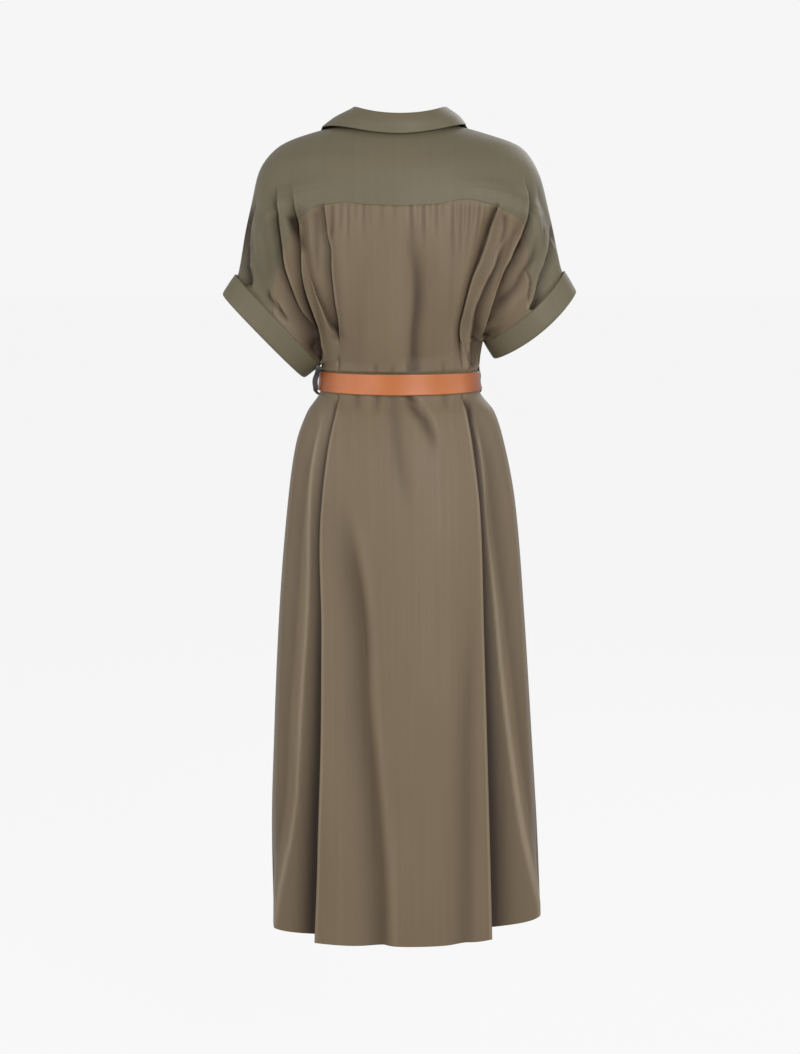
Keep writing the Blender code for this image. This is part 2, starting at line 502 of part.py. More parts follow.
def cloth_panel(name, columns, rows, half, colour, roughness, limits):
    """A panel of cloth between its seams, on the worn form."""

    def place(around, drop, inner):
        back = np.full(around.shape, half == "back")
        at_top, at_bottom = drop <= min(rows) + 1e-9, drop >= max(rows) - 1e-9
        if half == "back":
            drop = dipped(around, drop)
        extra = np.maximum(np.abs(around) - 2.0, 0.0) * OVERLAP / (2.7 * smooth(FRONT_ROWS, "lead", drop))
        around = np.sign(around + 1e-12) * np.minimum(np.abs(around), 2.0) + np.sign(around) * extra
        ahead = worn_form(around, drop + STEP / 2.0, back) - worn_form(around, drop - STEP / 2.0, back)
        sideways = worn_form(around + STEP / 2.0, drop, back) - worn_form(around - STEP / 2.0, drop, back)
        down = across_size(ahead, sideways) / STEP
        wide = across_size(sideways, ahead) / STEP
        lean = (smooth(SEAM_DIPS, "dip", around + 0.005) - smooth(SEAM_DIPS, "dip", around - 0.005)) / 0.01
        slant = np.sqrt(1.0 + (SEAM_EASE * lean * down / wide) ** 2) if half == "back" else 1.0
        shift = np.where(at_top, limits[0], 0.0) - np.where(at_bottom, limits[1], 0.0)
        drop = drop + shift * slant * SEAM_GAP / 2.0 / down
        at_side = np.abs(np.abs(around) - 1.0) < 1e-6
        inward = -np.sign(around) if half == "back" else np.sign(around)
        around = around + np.where(at_side, inward, 0.0) * SEAM_GAP / 2.0 / wide
        point = worn_form(around, drop, back)
        out = cloth_normal(around, drop, back)
        lift = placket_lift(point[:, 0], around) if half == "front" else np.zeros(len(point))
        return point + out * (lift - inner * WALL)[:, None]

    return new_object(name, slab(columns, rows, place), colour, roughness)


def placket_lift(x, around):
    """How far the right front is raised where it laps over the left."""
    return np.where(around < 0.0, PLACKET_LIFT * ramp((x + 0.046) / 0.018), 0.0)


def collar_point(around, across):
    """Point of the collar's outer face: across 0 at the neck seam, 1 at the fold, 2 at the outer edge."""
    back = np.abs(around) <= 1.0
    neck = plain_form(around, np.full_like(around, NECK_SEAM), back)
    after = plain_form(around + STEP, np.full_like(around, NECK_SEAM), np.abs(around + STEP) <= 1.0)
    before = plain_form(around - STEP, np.full_like(around, NECK_SEAM), np.abs(around - STEP) <= 1.0)
    along = after - before
    out = unit(stack(along[..., 1], -along[..., 0], 0.0 * around)) * -1.0
    up = np.array([0.0, 0.0, 1.0])
    fold_out, fold_up = smooth(COLLAR, "fold_out", around), smooth(COLLAR, "fold_up", around)
    edge_drop, lift = smooth(COLLAR, "edge_drop", around), smooth(COLLAR, "edge_lift", around)
    edge = plain_form(around, edge_drop, back)
    edge = edge + normal_of(plain_form, around, edge_drop, back) * lift[..., None]
    seam = neck + up * 0.0022
    top = neck + out * fold_out[..., None] + up * fold_up[..., None]
    inner = top - out * 0.0028 - up * 0.0022
    outer = top + out * 0.0036 - up * 0.0022
    middle = (seam + inner) / 2.0 - out * 0.0010
    fall = (outer + edge) / 2.0 + out * 0.0022 + up * 0.0012
    stations = [0.0, 0.5, 0.9, 1.0, 1.1, 1.55, 2.0]
    rows = np.stack([seam, middle, inner, top, outer, fall, edge])
    k = np.clip(np.searchsorted(stations, across, side="right") - 1, 0, len(stations) - 2)
    t = (across - np.array(stations)[k]) / np.diff(stations)[k]
    n = np.arange(len(around))
    p0, p1 = rows[np.maximum(k - 1, 0), n], rows[k, n]
    p2, p3 = rows[k + 1, n], rows[np.minimum(k + 2, len(stations) - 1), n]
    t = t[..., None]
    return 0.5 * (2.0 * p1 + (p2 - p0) * t + (2.0 * p0 - 5.0 * p1 + 4.0 * p2 - p3) * t**2
                  + (3.0 * p1 - p0 - 3.0 * p2 + p3) * t**3)


def build_collar():
    """One-piece turned-down collar."""

    def place(around, across, inner):
        a = collar_point(around + STEP, across) - collar_point(around - STEP, across)
        b = (collar_point(around, np.minimum(across + 0.01, 2.0))
             - collar_point(around, np.maximum(across - 0.01, 0.0)))
        side = unit(np.cross(a, b))
        return collar_point(around, across) + side * (inner * COLLAR_WALL)[:, None]

    columns = spread(-1.98, (-1.0, 9), (1.0, 20), (1.98, 9))
    rows = [0.0, 0.45, 0.8, 0.93, 1.0, 1.07, 1.2, 1.6, 2.0]
    return new_object("collar", slab(columns, rows, place), OLIVE, 0.6)


def build_cuff(name, side):
    """Turned-up cuff: one band folded at the sleeve's end, its outer layer lapping over the sleeve."""
    share = CUFF_LAP
    bm = bmesh.new()
    profile = [
        (0.00, 0.0020 + CUFF_WALL), (0.30, 0.0021 + CUFF_WALL), (0.70, 0.0018 + CUFF_WALL),
        (0.93, 0.0012 + CUFF_WALL), (1.00, 0.0000), (0.97, -0.0016), (0.75, -0.0017), (share + 0.16, -0.0016),
        (share + 0.012, -0.0015), (share + 0.012, -0.0001), (share + 0.16, -0.0002), (0.75, -0.0003),
        (0.93, 0.0000), (0.93, 0.0004), (0.70, 0.0011), (0.30, 0.0016), (0.00, 0.0019),
    ]
    rings = []
    drops = np.array([d for d in YOKE_ROWS + BODY_ROWS[1:] if SLEEVE_TOP - 1e-6 <= d <= UNDERARM + 1e-6])
    half_turn = smooth(TURNS, "angle", drops)
    angles = np.concatenate([half_turn, 360.0 - half_turn[-2:0:-1]])
    turns = len(angles)
    under = ramp((-np.cos(np.radians(angles)) - 0.55) / 0.35)
    for along, off in profile:
        share_here = along + under * (CUFF_LOW_SHORT if along == 0.0 else 0.0)
        ring = cuff_ring(side, angles, share_here)
        ahead, behind = cuff_ring(side, angles + 0.5, share_here), cuff_ring(side, angles - 0.5, share_here)
        further = cuff_ring(side, angles, share_here + 0.01)
        out = unit(np.cross(ahead - behind, further - ring)) * -side
        low = under * (CUFF_LOW_STAND if off > 0.0010 else 0.0)
        rings.append(ring + out * (off + low)[:, None])
    count = len(rings)
    verts = [[bm.verts.new(p) for p in ring] for ring in rings]
    for i in range(count):
        for j in range(turns):
            a, b = verts[i], verts[(i + 1) % count]
            bm.faces.new((a[j], a[(j + 1) % turns], b[(j + 1) % turns], b[j]))
    return new_object(name, bm, OLIVE, 0.6)


def waist_table():
    """Distance round the waist against the around coordinate, from the centre front by the left side."""
    around = np.linspace(2.0, -2.0, 801)
    points = worn_form(around, np.full_like(around, BELT_MIDDLE), np.abs(around) <= 1.0)
    steps = np.linalg.norm(np.diff(points, axis=0), axis=1)
    return np.concatenate([[0.0], np.cumsum(steps)]), around


def on_waist(along, off, height):
    """Point off the cloth at a distance round the waist and a height above the belt's middle."""
    length = WAIST[0][-1]
    around = np.interp(np.mod(along, length), *WAIST)
    drop = BELT_MIDDLE - height
    back = np.abs(around) <= 1.0
    point = worn_form(around, drop, back)
    out = cloth_normal(around, drop, back)
    from_front = np.abs(np.mod(along + length / 2.0, length) - length / 2.0)
    over_placket = PLACKET_CLEAR * ramp((0.110 - from_front) / 0.050)
    return point + out * (off + BELT_CLEAR + over_placket)[..., None]


def build_belt():
    """Strap: its folded end round the buckle's bar, round the waist and back over itself."""
    length = WAIST[0][-1]
    bend = 0.0033
    turn = [BeltPoint(BAR_ALONG - bend * math.sin(a), 0.0065 - bend * math.cos(a))
            for a in np.radians([0.0, 30.0, 60.0, 90.0, 120.0, 150.0, 180.0])]
    path = [BeltPoint(0.050, 0.0034), BeltPoint(0.034, 0.0034)] + turn
    path += [BeltPoint(0.030, 0.0085), BeltPoint(0.052, 0.0064), BeltPoint(0.066, 0.0040),
             BeltPoint(0.080, 0.0026)]
    steps = 38
    path += [BeltPoint(0.080 + (length - 0.150) * (k + 1) / steps, 0.0026) for k in range(steps)]
    path += [BeltPoint(length + a, off) for a, off in (
        (-0.050, 0.0026), (-0.034, 0.0031), (-0.021, 0.0034), (-0.014, 0.0040), (-0.0085, 0.0056),
        (0.0030, 0.0091), (0.0095, 0.0113), (0.016, 0.0127), (0.030, 0.0115), (0.052, 0.0093),
        (0.060, 0.0082), (0.064, 0.0075), (0.074, 0.0063), (0.084, 0.0056), (0.088, 0.0055),
        (0.108, 0.0055), (0.112, 0.0055), (0.124, 0.0055), (0.136, 0.0055), (0.142, 0.0055))]
    names = [round(p.along - length, 4) for p in path]
    slots = {(names.index(a), 1) for a in (-0.0085, 0.060, 0.084, 0.108)}
    line = np.array([[p.along, p.off] for p in path])
    tangent = np.gradient(line, axis=0)
    tangent /= np.linalg.norm(tangent, axis=1, keepdims=True)
    across = np.stack([-tangent[:, 1], tangent[:, 0]], axis=1)

    def place(column, height, inner):
        k = column.astype(int)
        at = line[k] + across[k] * ((inner - 0.5) * BELT_WALL)[:, None]
        tip = np.where(k == len(line) - 1, 0.55, np.where(k == len(line) - 2, 0.85, 1.0))
        return on_waist(at[:, 0], at[:, 1], height * tip)

    half = BELT_WIDTH / 2.0
    rows = [-half, -0.0022, 0.0022, half]
    return new_object("belt", slab(list(range(len(path))), rows, place, slots), TAN, 0.42)


def tube(name, path, radius, closed, colour, roughness, metallic):
    """Round bar along a path of points, each with two directions across it."""
    bm = bmesh.new()
    rings = []
    count = len(path)
    for k, point in enumerate(path):
        after = path[(k + 1) % count] if closed or k + 1 < count else path[k]
        before = path[k - 1] if closed or k > 0 else path[k]
        direction = (after - before).normalized()
        turned = direction.to_track_quat("Z", "Y").to_matrix()
        rings.append([bm.verts.new(point + turned @ Vector((radius * math.cos(a), radius * math.sin(a), 0.0)))
                      for a in np.linspace(0.0, 2.0 * math.pi, 9)[:-1]])
    pairs = list(zip(rings, rings[1:] + rings[:1])) if closed else list(zip(rings, rings[1:]))
    for a, b in pairs:
        shift = min(range(8), key=lambda n: sum((a[i].co - b[(i + n) % 8].co).length for i in range(8)))
        for i in range(8):
            bm.faces.new((a[i], a[(i + 1) % 8], b[(i + 1 + shift) % 8], b[(i + shift) % 8]))
    if not closed:
        bm.faces.new(rings[0])
        bm.faces.new(rings[-1])
    return new_object(name, bm, colour, roughness, metallic)


def waist_path(points):
    """Points given as distance along, standing off and height, as vectors."""
    table = np.array(points)
    return [Vector(p) for p in on_waist(table[:, 0], table[:, 1], table[:, 2])]


def build_buckle():
    """Metal frame, its prong, and the leather keeper."""
    near, far, half, corner = BAR_ALONG, -0.0225, 0.0195, 0.006
    frame = []
    corners = ((near - 0.0015, half - 0.0015, 0.0015, 0.0), (far + corner, half - corner, corner, 90.0),
               (far + corner, -half + corner, corner, 180.0), (near - 0.0015, -half + 0.0015, 0.0015, 270.0))
    for x, z, r, start in corners:
        for k in range(4):
            a = math.radians(start + 30.0 * k)
            frame.append((x + r * math.cos(a), 0.0065, z + r * math.sin(a)))
    tube("buckle", waist_path(frame), 0.0015, True, BRASS, 0.28, 1.0)
    prong = [(0.0110, 0.0062, 0.0), (0.0040, 0.0061, 0.0), (0.0000, 0.0066, 0.0), (-0.0045, 0.0079, 0.0),
             (-0.0100, 0.0091, 0.0), (-0.0170, 0.0095, 0.0), (-0.0245, 0.0096, 0.0)]
    tube("prong", waist_path(prong), 0.0011, False, BRASS, 0.28, 1.0)
    half = BELT_WIDTH / 2.0 + 0.0007
    ring = [(0.0018, -half), (0.0010, -half + 0.002), (0.0010, 0.0), (0.0010, half - 0.002), (0.0018, half),
            (0.0060, half + 0.0002), (0.0124, half), (0.0136, half - 0.001), (0.0136, 0.0),
            (0.0136, -half + 0.001), (0.0124, -half), (0.0060, -half - 0.0002)]
    bm = bmesh.new()
    loops = []
    for along, grow in ((0.033, 0.0), (0.033, 0.0013), (0.043, 0.0013), (0.043, 0.0)):
        points = []
        for off, z in ring:
            out = 1.0 if off > 0.006 else -1.0
            deep = 0.4 if off < 0.006 else 1.0
            wide = min(abs(z) / half, 1.0)
            taller = math.copysign(grow, z) if wide > 0.95 else 0.0
            points.append((along, off + out * grow * deep, z + taller))
        loops.append([bm.verts.new(p) for p in waist_path(points)])
    for a, b in zip(loops, loops[1:] + loops[:1]):
        for i in range(len(ring)):
            j = (i + 1) % len(ring)
            bm.faces.new((a[i], a[j], b[j], b[i]))
    new_object("keeper", bm, TAN, 0.42)


def build_loop(name, where, reach, twist):
    """Narrow ribbon loop at the side that the belt passes through; it may twist to face back."""
    path = [(LOOP_END, 0.0185), (0.0026, 0.0197), (0.0080, 0.0180), (reach * 0.80, 0.0115), (reach, 0.0),
            (reach * 0.85, -0.0125), (0.0074, -0.0225), (0.0032, -0.0267), (LOOP_LOW_END, -0.0255)]
    centre = float(np.interp(-where, -WAIST[1], WAIST[0]))
    line = np.array(path)
    tangent = np.gradient(line, axis=0)
    tangent /= np.linalg.norm(tangent, axis=1, keepdims=True)
    across = np.stack([-tangent[:, 1], tangent[:, 0]], axis=1)
    turn = np.radians(twist) * np.sin(np.linspace(0.0, math.pi, len(path)))

    def place(wide, station, inner):
        k = station.astype(int)
        deep = (0.5 - inner) * LOOP_WALL
        at = line[k] + across[k] * (deep * np.cos(turn[k]) + wide * np.sin(turn[k]))[:, None]
        return on_waist(centre + wide * np.cos(turn[k]) - deep * np.sin(turn[k]), at[:, 0], at[:, 1])

    columns = [-LOOP_WIDTH / 2.0, 0.0, LOOP_WIDTH / 2.0]
    return new_object(name, slab(columns, list(range(len(path))), place), DARK_LOOP, 0.6)


def build_buttons():
    """Four-hole buttons down the centre front, without the waist, where the belt is."""
    for number, drop in enumerate(BUTTON_DROPS, start=1):
        around, height, front = np.array([-2.0]), np.array([drop]), np.array([False])
        point, out = worn_form(around, height, front)[0], cloth_normal(around, height, front)[0]
        bm = bmesh.new()
        lathe = ((0.0, 0.0), (0.0056, 0.0), (0.0060, 0.0018), (0.0052, 0.0025), (0.0042, 0.0019),
                 (0.0, 0.0019))
        turn = Vector(out).to_track_quat("Z", "Y").to_matrix()
        base = Vector(point) + Vector(out) * (PLACKET_LIFT + 0.0004)
        rings = []
        for radius, height_up in lathe:
            if radius == 0.0:
                rings.append([bm.verts.new(base + turn @ Vector((0.0, 0.0, height_up)))])
            else:
                spots = [Vector((radius * math.cos(a), radius * math.sin(a), height_up))
                         for a in np.linspace(0.0, 2.0 * math.pi, 15)[:-1]]
                rings.append([bm.verts.new(base + turn @ spot) for spot in spots])
        for a, b in zip(rings, rings[1:]):
            for i in range(14):
                j = (i + 1) % 14
                corners = [a[i % len(a)], a[j % len(a)], b[j % len(b)], b[i % len(b)]]
                bm.faces.new(list(dict.fromkeys(corners)))
        new_object(f"button_{number}", bm, HORN, 0.3)


SHARES = [Share(r.drop, left, right)
          for r, left, right in zip(BACK_ROWS, pleat_share(LEFT), pleat_share(RIGHT))]
WAIST = waist_table()
HALF = [0.11, 0.22, 0.32, 0.42, 0.50, 0.513, 0.526, 0.540, 0.554, 0.60, 0.67, 0.74, 0.81, 0.885, 0.952, 0.978,
        1.0]
YOKE_ROWS = spread(NECK_SEAM, (0.046, 3), (0.0740, 3), (0.0785, 1), (SLEEVE_TOP, 1), (YOKE_SEAM, 5))
BODY_ROWS = spread(YOKE_SEAM, (0.280, 8), (UNDERARM, 3), (0.332, 1), (0.348, 1), (0.3815, 2), (0.400, 1),
                   (0.460, 2), (HEM, 9))


def main():
    """Build the dress."""
    for solid in list(bpy.data.objects):
        bpy.data.objects.remove(solid, do_unlink=True)
    collection = bpy.data.collections.new("shirt_dress")
    bpy.context.scene.collection.children.link(collection)

    columns = [-c for c in reversed(HALF)] + [0.0] + HALF
    cloth_panel("back_panel", columns, BODY_ROWS, "back", KHAKI, 0.6, (0.95, 0.0))
    cloth_panel("back_yoke", columns, YOKE_ROWS, "back", OLIVE, 0.6, (0.0, 0.95))
    for name, side in (("front_left", LEFT), ("front_right", RIGHT)):
        lines = [side * c for c in spread(1.0, (1.048, 2), (1.90, 11), (2.0, 2), (3.0, 1))]
        cloth_panel(name, lines, YOKE_ROWS + BODY_ROWS[1:], "front", KHAKI, 0.6, (0.0, 0.0))
    build_collar()
    build_cuff("cuff_left", LEFT)
    build_cuff("cuff_right", RIGHT)
    build_belt()
    build_buckle()
    build_loop("belt_loop_left", 0.87, 0.0170, 62.0)
    build_loop("belt_loop_right", -1.10, 0.0078, 0.0)
    build_buttons()


if __name__ == "__main__":
    main()
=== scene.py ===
"""Shirt dress: the same worn form as the solids, in fine cloth with creases and finishes.

Frame: metres, +Z up, +Y to the wearer's back, +X to the wearer's left, the origin between the shoulders.
Cloth is laid out in two coordinates and bent onto the worn form:
    around  0 at the centre back, 1 at the side or over-arm line, 2 at the centre front; negative to the right
    drop    how far the same row of cloth lies below the origin at the centre back, in metres
"""

import logging
import math
from dataclasses import dataclass, field
from enum import Enum
from typing import Callable, NamedTuple, Sequence

import bmesh
import bpy
import numpy as np
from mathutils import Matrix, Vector


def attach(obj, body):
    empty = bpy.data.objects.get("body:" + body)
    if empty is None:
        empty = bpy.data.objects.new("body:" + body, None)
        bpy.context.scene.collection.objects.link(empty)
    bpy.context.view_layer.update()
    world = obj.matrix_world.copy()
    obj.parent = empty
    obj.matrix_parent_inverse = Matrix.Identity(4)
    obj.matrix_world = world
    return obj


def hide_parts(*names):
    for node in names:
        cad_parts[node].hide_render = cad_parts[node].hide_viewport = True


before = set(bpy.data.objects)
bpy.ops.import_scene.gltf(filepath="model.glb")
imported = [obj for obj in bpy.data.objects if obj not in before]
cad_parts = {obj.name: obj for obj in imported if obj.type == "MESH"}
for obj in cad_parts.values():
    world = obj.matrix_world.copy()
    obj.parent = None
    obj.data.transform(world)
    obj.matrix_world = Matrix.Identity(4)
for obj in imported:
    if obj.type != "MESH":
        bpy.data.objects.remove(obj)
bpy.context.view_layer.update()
logging.basicConfig(level=logging.INFO, format="%(message)s")
log = logging.getLogger("dress")

Array = np.ndarray
Colour = tuple[float, float, float]
LEFT, RIGHT = 1.0, -1.0
SIDE_NAMES = {LEFT: "left", RIGHT: "right"}

# ---------- sizes shared with the solids
STEP = 0.001
NECK_SEAM = 0.006
YOKE_SEAM = 0.1104
HEM = 1.174
SLEEVE_TOP = 0.081
UNDERARM = 0.325
OVERLAP = 0.015
PLACKET_LIFT = 0.0028
CUFF_LAP = 0.17
CUFF_GRIP = 0.2
CUFF_DRIFT = 260.0
CUFF_LOW_SHORT = 0.07
BELT_MIDDLE = 0.3655
BELT_WIDTH = 0.03
BELT_WALL = 0.0024
BELT_CLEAR = 0.0006
PLACKET_CLEAR = 0.0008
BAR_ALONG = 0.016
LOOP_WIDTH = 0.009
BUTTON_DROPS = (0.168, 0.235, 0.3, 0.44, 0.54, 0.64, 0.74, 0.84)

# ---------- sizes of the fine cloth
CLOTH = 0.0009
TRIM_CLOTH = 0.0017
CUFF_CLOTH = 0.0013
RIBBON_CLOTH = 0.0009
EDGE_ROUND = 0.0009
TOP_UNDER = 0.0009
CREASE_LIMIT = 0.013
ASIDE_LIMIT = 0.01
BLOUSE = 0.0036

# Shade painted into the cloth's colour by a side seam, along a pleat's stitched top and in its recess, and
# highlight painted by a pleat's edge; PLEAT_SHADOW is how far the recess stays painted dark where it opens at
# the hem.
SEAM_SHADE = 0.22
STITCH_SHADE = 0.55
PLEAT_SHADE = 1.15
PLEAT_LIGHT = 0.2
PLEAT_SHADOW = 0.023

# Rows of cloth are eased into each other over the chest and by the underarm, so far up and down.
CHEST_EASE = 0.034
UNDERARM_EASE = 0.016
EASE_SHARES = tuple((k / 3.0, math.cos(k / 4.0 * math.pi / 2.0) ** 2 / 4.0) for k in range(-3, 4))


class Stretch(NamedTuple):
    """A stretch of cloth between two drops, with the length over which it comes in and goes out."""

    start: float
    rise: float
    end: float
    fall: float

    def at(self, drop: Array) -> Array:
        """Share from 0 outside the stretch to 1 within it."""
        return ramp((drop - self.start) / self.rise) * ramp((self.end - drop) / self.fall)


CHEST = Stretch(0.04, 0.038, 0.23, 0.07)
UNDER_SLEEVE = Stretch(0.28, 0.03, 0.3515, 0.012)
SLEEVE_END = Stretch(0.0765, 0.004, 0.334, 0.007)
BELTED = Stretch(0.345, 0.0045, 0.386, 0.0045)
BELTED_CREASES = Stretch(0.345, 0.0045, 0.384, 0.0035)
BLOUSED = Stretch(0.27, 0.06, 0.3505, 0.005)


# ---------- the worn form, one row for each section
class BackRow(NamedTuple):
    """One row of the back.

    back is its depth at the centre. lead, lead_in and lead_rise say how it leaves the centre: sideways,
    inwards and upwards. near_in, near_out and near_up say how it comes to its side end. pleat_left and
    pleat_right are the pleat lines' distances from the centre back, and sway is how far it hangs to a side.
    """

    drop: float
    back: float
    lead: float
    lead_in: float
    lead_rise: float
    near_in: float
    near_out: float
    near_up: float
    pleat_left: float
    pleat_right: float
    sway: float


BACK_ROWS = [BackRow(*row) for row in (
    (0.006, 0.062, 0.046, 0.0, 0.0, 0.005, 0.044, 0.001, 0.036, 0.036, 0.0),
    (0.02, 0.074, 0.064, 0.0, 0.001, 0.012, 0.05, 0.004, 0.052, 0.052, 0.0),
    (0.034, 0.084, 0.08, 0.0, 0.003, 0.018, 0.056, 0.012, 0.066, 0.066, 0.0),
    (0.046, 0.091, 0.105, 0.0, 0.003, 0.014, 0.068, 0.032, 0.076, 0.078, 0.0),
    (0.068, 0.1, 0.134, 0.004, 0.004, 0.02, 0.078, 0.076, 0.082, 0.086, 0.0),
    (0.081, 0.103, 0.154, 0.006, 0.003, 0.032, 0.08, 0.12, 0.085, 0.09, 0.0),
    (0.1104, 0.106, 0.186, 0.014, 0.009, -0.013, 0.016, 0.18, 0.086, 0.093, 0.0),
    (0.16, 0.107, 0.15, 0.01, 0.0, -0.006, 0.018, 0.116, 0.087, 0.092, 0.0),
    (0.22, 0.105, 0.106, 0.004, 0.0, 0.02, 0.03, 0.064, 0.088, 0.091, 0.0),
    (0.28, 0.1, 0.07, 0.0, 0.002, 0.026, 0.042, 0.028, 0.089, 0.091, 0.0),
    (0.325, 0.091, 0.06, 0.0, 0.0, 0.01, 0.038, 0.006, 0.089, 0.091, 0.0),
    (0.348, 0.0855, 0.062, 0.0, 0.0, 0.0, 0.046, 0.0, 0.088, 0.089, 0.0),
    (0.382, 0.0865, 0.064, 0.0, 0.0, 0.0, 0.047, 0.0, 0.089, 0.09, 0.0),
    (0.412, 0.098, 0.074, 0.0, 0.0, 0.0, 0.056, 0.0, 0.093, 0.096, 0.0),
    (0.46, 0.112, 0.086, 0.0, 0.0, 0.0, 0.068, 0.0, 0.103, 0.105, -0.001),
    (0.55, 0.126, 0.098, 0.0, 0.0, 0.0, 0.08, 0.0, 0.113, 0.116, -0.002),
    (0.72, 0.14, 0.11, 0.0, 0.0, 0.0, 0.092, 0.0, 0.112, 0.122, -0.003),
    (0.9, 0.151, 0.122, 0.0, 0.0, 0.0, 0.104, 0.0, 0.113, 0.128, -0.005),
    (1.05, 0.159, 0.128, 0.0, 0.0, 0.0, 0.112, 0.0, 0.117, 0.133, -0.007),
    (1.174, 0.165, 0.13, 0.0, 0.0, 0.0, 0.116, 0.0, 0.121, 0.137, -0.009),
)]


class FrontRow(NamedTuple):
    """One row of the front: as for the back, with the front edge's height and distance from the centre."""

    drop: float
    front: float
    front_drop: float
    gap: float
    lead: float
    lead_in: float
    lead_rise: float
    near_in: float
    near_out: float
    near_up: float


FRONT_ROWS = [FrontRow(*row) for row in (
    (0.006, 0.078, 0.074, 0.04, 0.034, 0.0, 0.02, 0.005, 0.044, 0.001),
    (0.02, 0.086, 0.086, 0.035, 0.046, 0.0, 0.024, 0.012, 0.05, 0.004),
    (0.034, 0.094, 0.098, 0.03, 0.06, 0.0, 0.026, 0.018, 0.056, 0.012),
    (0.046, 0.101, 0.11, 0.025, 0.078, 0.001, 0.026, 0.014, 0.076, 0.032),
    (0.068, 0.112, 0.132, 0.015, 0.1, 0.003, 0.024, 0.02, 0.09, 0.076),
    (0.081, 0.118, 0.146, 0.007, 0.11, 0.004, 0.023, 0.03, 0.094, 0.114),
    (0.1104, 0.126, 0.174, 0.0, 0.116, 0.006, 0.018, 0.034, 0.032, 0.136),
    (0.16, 0.13, 0.214, 0.0, 0.106, 0.004, 0.008, 0.042, 0.036, 0.096),
    (0.22, 0.127, 0.258, 0.0, 0.088, 0.0, 0.003, 0.044, 0.042, 0.058),
    (0.28, 0.115, 0.3, 0.0, 0.066, 0.0, 0.001, 0.03, 0.044, 0.026),
    (0.325, 0.1, 0.33, 0.0, 0.06, 0.0, 0.0, 0.01, 0.038, 0.006),
    (0.348, 0.0885, 0.349, 0.0, 0.062, 0.0, 0.0, 0.0, 0.046, 0.0),
    (0.382, 0.0895, 0.381, 0.0, 0.064, 0.0, 0.0, 0.0, 0.047, 0.0),
    (0.412, 0.098, 0.411, 0.0, 0.074, 0.0, 0.0, 0.0, 0.056, 0.0),
    (0.46, 0.108, 0.459, 0.0, 0.086, 0.0, 0.0, 0.0, 0.066, 0.0),
    (0.55, 0.118, 0.549, 0.0, 0.098, 0.0, 0.0, 0.0, 0.076, 0.0),
    (0.72, 0.129, 0.718, 0.0, 0.11, 0.0, 0.0, 0.0, 0.086, 0.0),
    (0.9, 0.139, 0.897, 0.0, 0.122, 0.0, 0.0, 0.0, 0.098, 0.0),
    (1.05, 0.147, 1.046, 0.0, 0.128, 0.0, 0.0, 0.0, 0.106, 0.0),
    (1.174, 0.153, 1.168, 0.0, 0.13, 0.0, 0.0, 0.0, 0.11, 0.0),
)]


class Dip(NamedTuple):
    """How far the yoke's lower seam dips below its own row of cloth at one place; above it where below 0."""

    around: float
    dip: float


SEAM_DIPS = [
    Dip(-1.0, 0.0), Dip(-0.95, 0.004), Dip(-0.9, 0.018), Dip(-0.86, 0.025), Dip(-0.8, 0.019),
    Dip(-0.74, 0.011), Dip(-0.63, 0.007), Dip(-0.57, 0.0), Dip(-0.5, -0.006), Dip(-0.4, -0.004),
    Dip(-0.22, 0.0), Dip(0.22, 0.0), Dip(0.46, -0.003), Dip(0.54, 0.001), Dip(0.6, 0.009),
    Dip(0.68, 0.022), Dip(0.74, 0.026), Dip(0.85, 0.023), Dip(0.91, 0.008), Dip(0.96, 0.0),
    Dip(1.0, 0.0),
]
SEAM_DIP_END = 0.27


class Side(NamedTuple):
    """A point of the side line: over the shoulder and down the arm, or from the underarm to the hem."""

    drop: float
    left: float
    left_drop: float
    right: float
    right_drop: float
    depth: float


OVER_ARM = [
    Side(0.006, 0.074, -0.006, 0.074, -0.006, -0.01),
    Side(0.02, 0.125, 0.006, 0.125, 0.008, -0.012),
    Side(0.034, 0.176, 0.0265, 0.178, 0.029, -0.012),
    Side(0.046, 0.2055, 0.064, 0.204, 0.07, -0.01),
    Side(0.056, 0.216, 0.108, 0.215, 0.112, -0.007),
    Side(0.066, 0.2265, 0.156, 0.2245, 0.154, -0.004),
    Side(0.074, 0.2325, 0.193, 0.2315, 0.188, -0.001),
    Side(0.0785, 0.2368, 0.2112, 0.236, 0.206, 0.0),
    Side(0.081, 0.24105, 0.21736, 0.24023, 0.21265, 0.0),
]
SIDE_SEAM = [
    Side(0.325, 0.12208, 0.3434, 0.12797, 0.312, 0.0),
    Side(0.332, 0.1128, 0.3357, 0.1212, 0.3002, 0.0),
    Side(0.34, 0.1108, 0.342, 0.1155, 0.318, 0.0),
    Side(0.348, 0.113, 0.349, 0.113, 0.347, 0.0),
    Side(0.382, 0.117, 0.381, 0.117, 0.381, 0.0),
    Side(0.412, 0.136, 0.411, 0.1385, 0.411, 0.0),
    Side(0.46, 0.153, 0.458, 0.1535, 0.458, 0.0),
    Side(0.55, 0.166, 0.548, 0.1705, 0.548, 0.0),
    Side(0.72, 0.18, 0.716, 0.185, 0.716, 0.0),
    Side(0.9, 0.1885, 0.894, 0.197, 0.894, 0.0),
    Side(1.05, 0.193, 1.043, 0.2065, 1.043, 0.0),
    Side(1.174, 0.191, 1.181, 0.212, 1.162, 0.0),
]


class Turn(NamedTuple):
    """Where a row of cloth meets the sleeve's open end: 0 at its top, 180 at the underarm."""

    drop: float
    angle: float


TURNS = [Turn(0.081, 0.0), Turn(0.1104, 82.0), Turn(0.16, 106.0), Turn(0.22, 130.0), Turn(0.28, 158.0),
         Turn(0.325, 180.0)]


class Cuff(NamedTuple):
    """A turned-up cuff, seen from behind: the free edge's two ends and the folded edge's two ends.

    depth is how deep its ring is from front to back, and bow how far its middle bows out along the sleeve.
    """

    top_x: float
    top_drop: float
    low_x: float
    low_drop: float
    fold_top_x: float
    fold_top_drop: float
    fold_low_x: float
    fold_low_drop: float
    depth: float
    bow: float


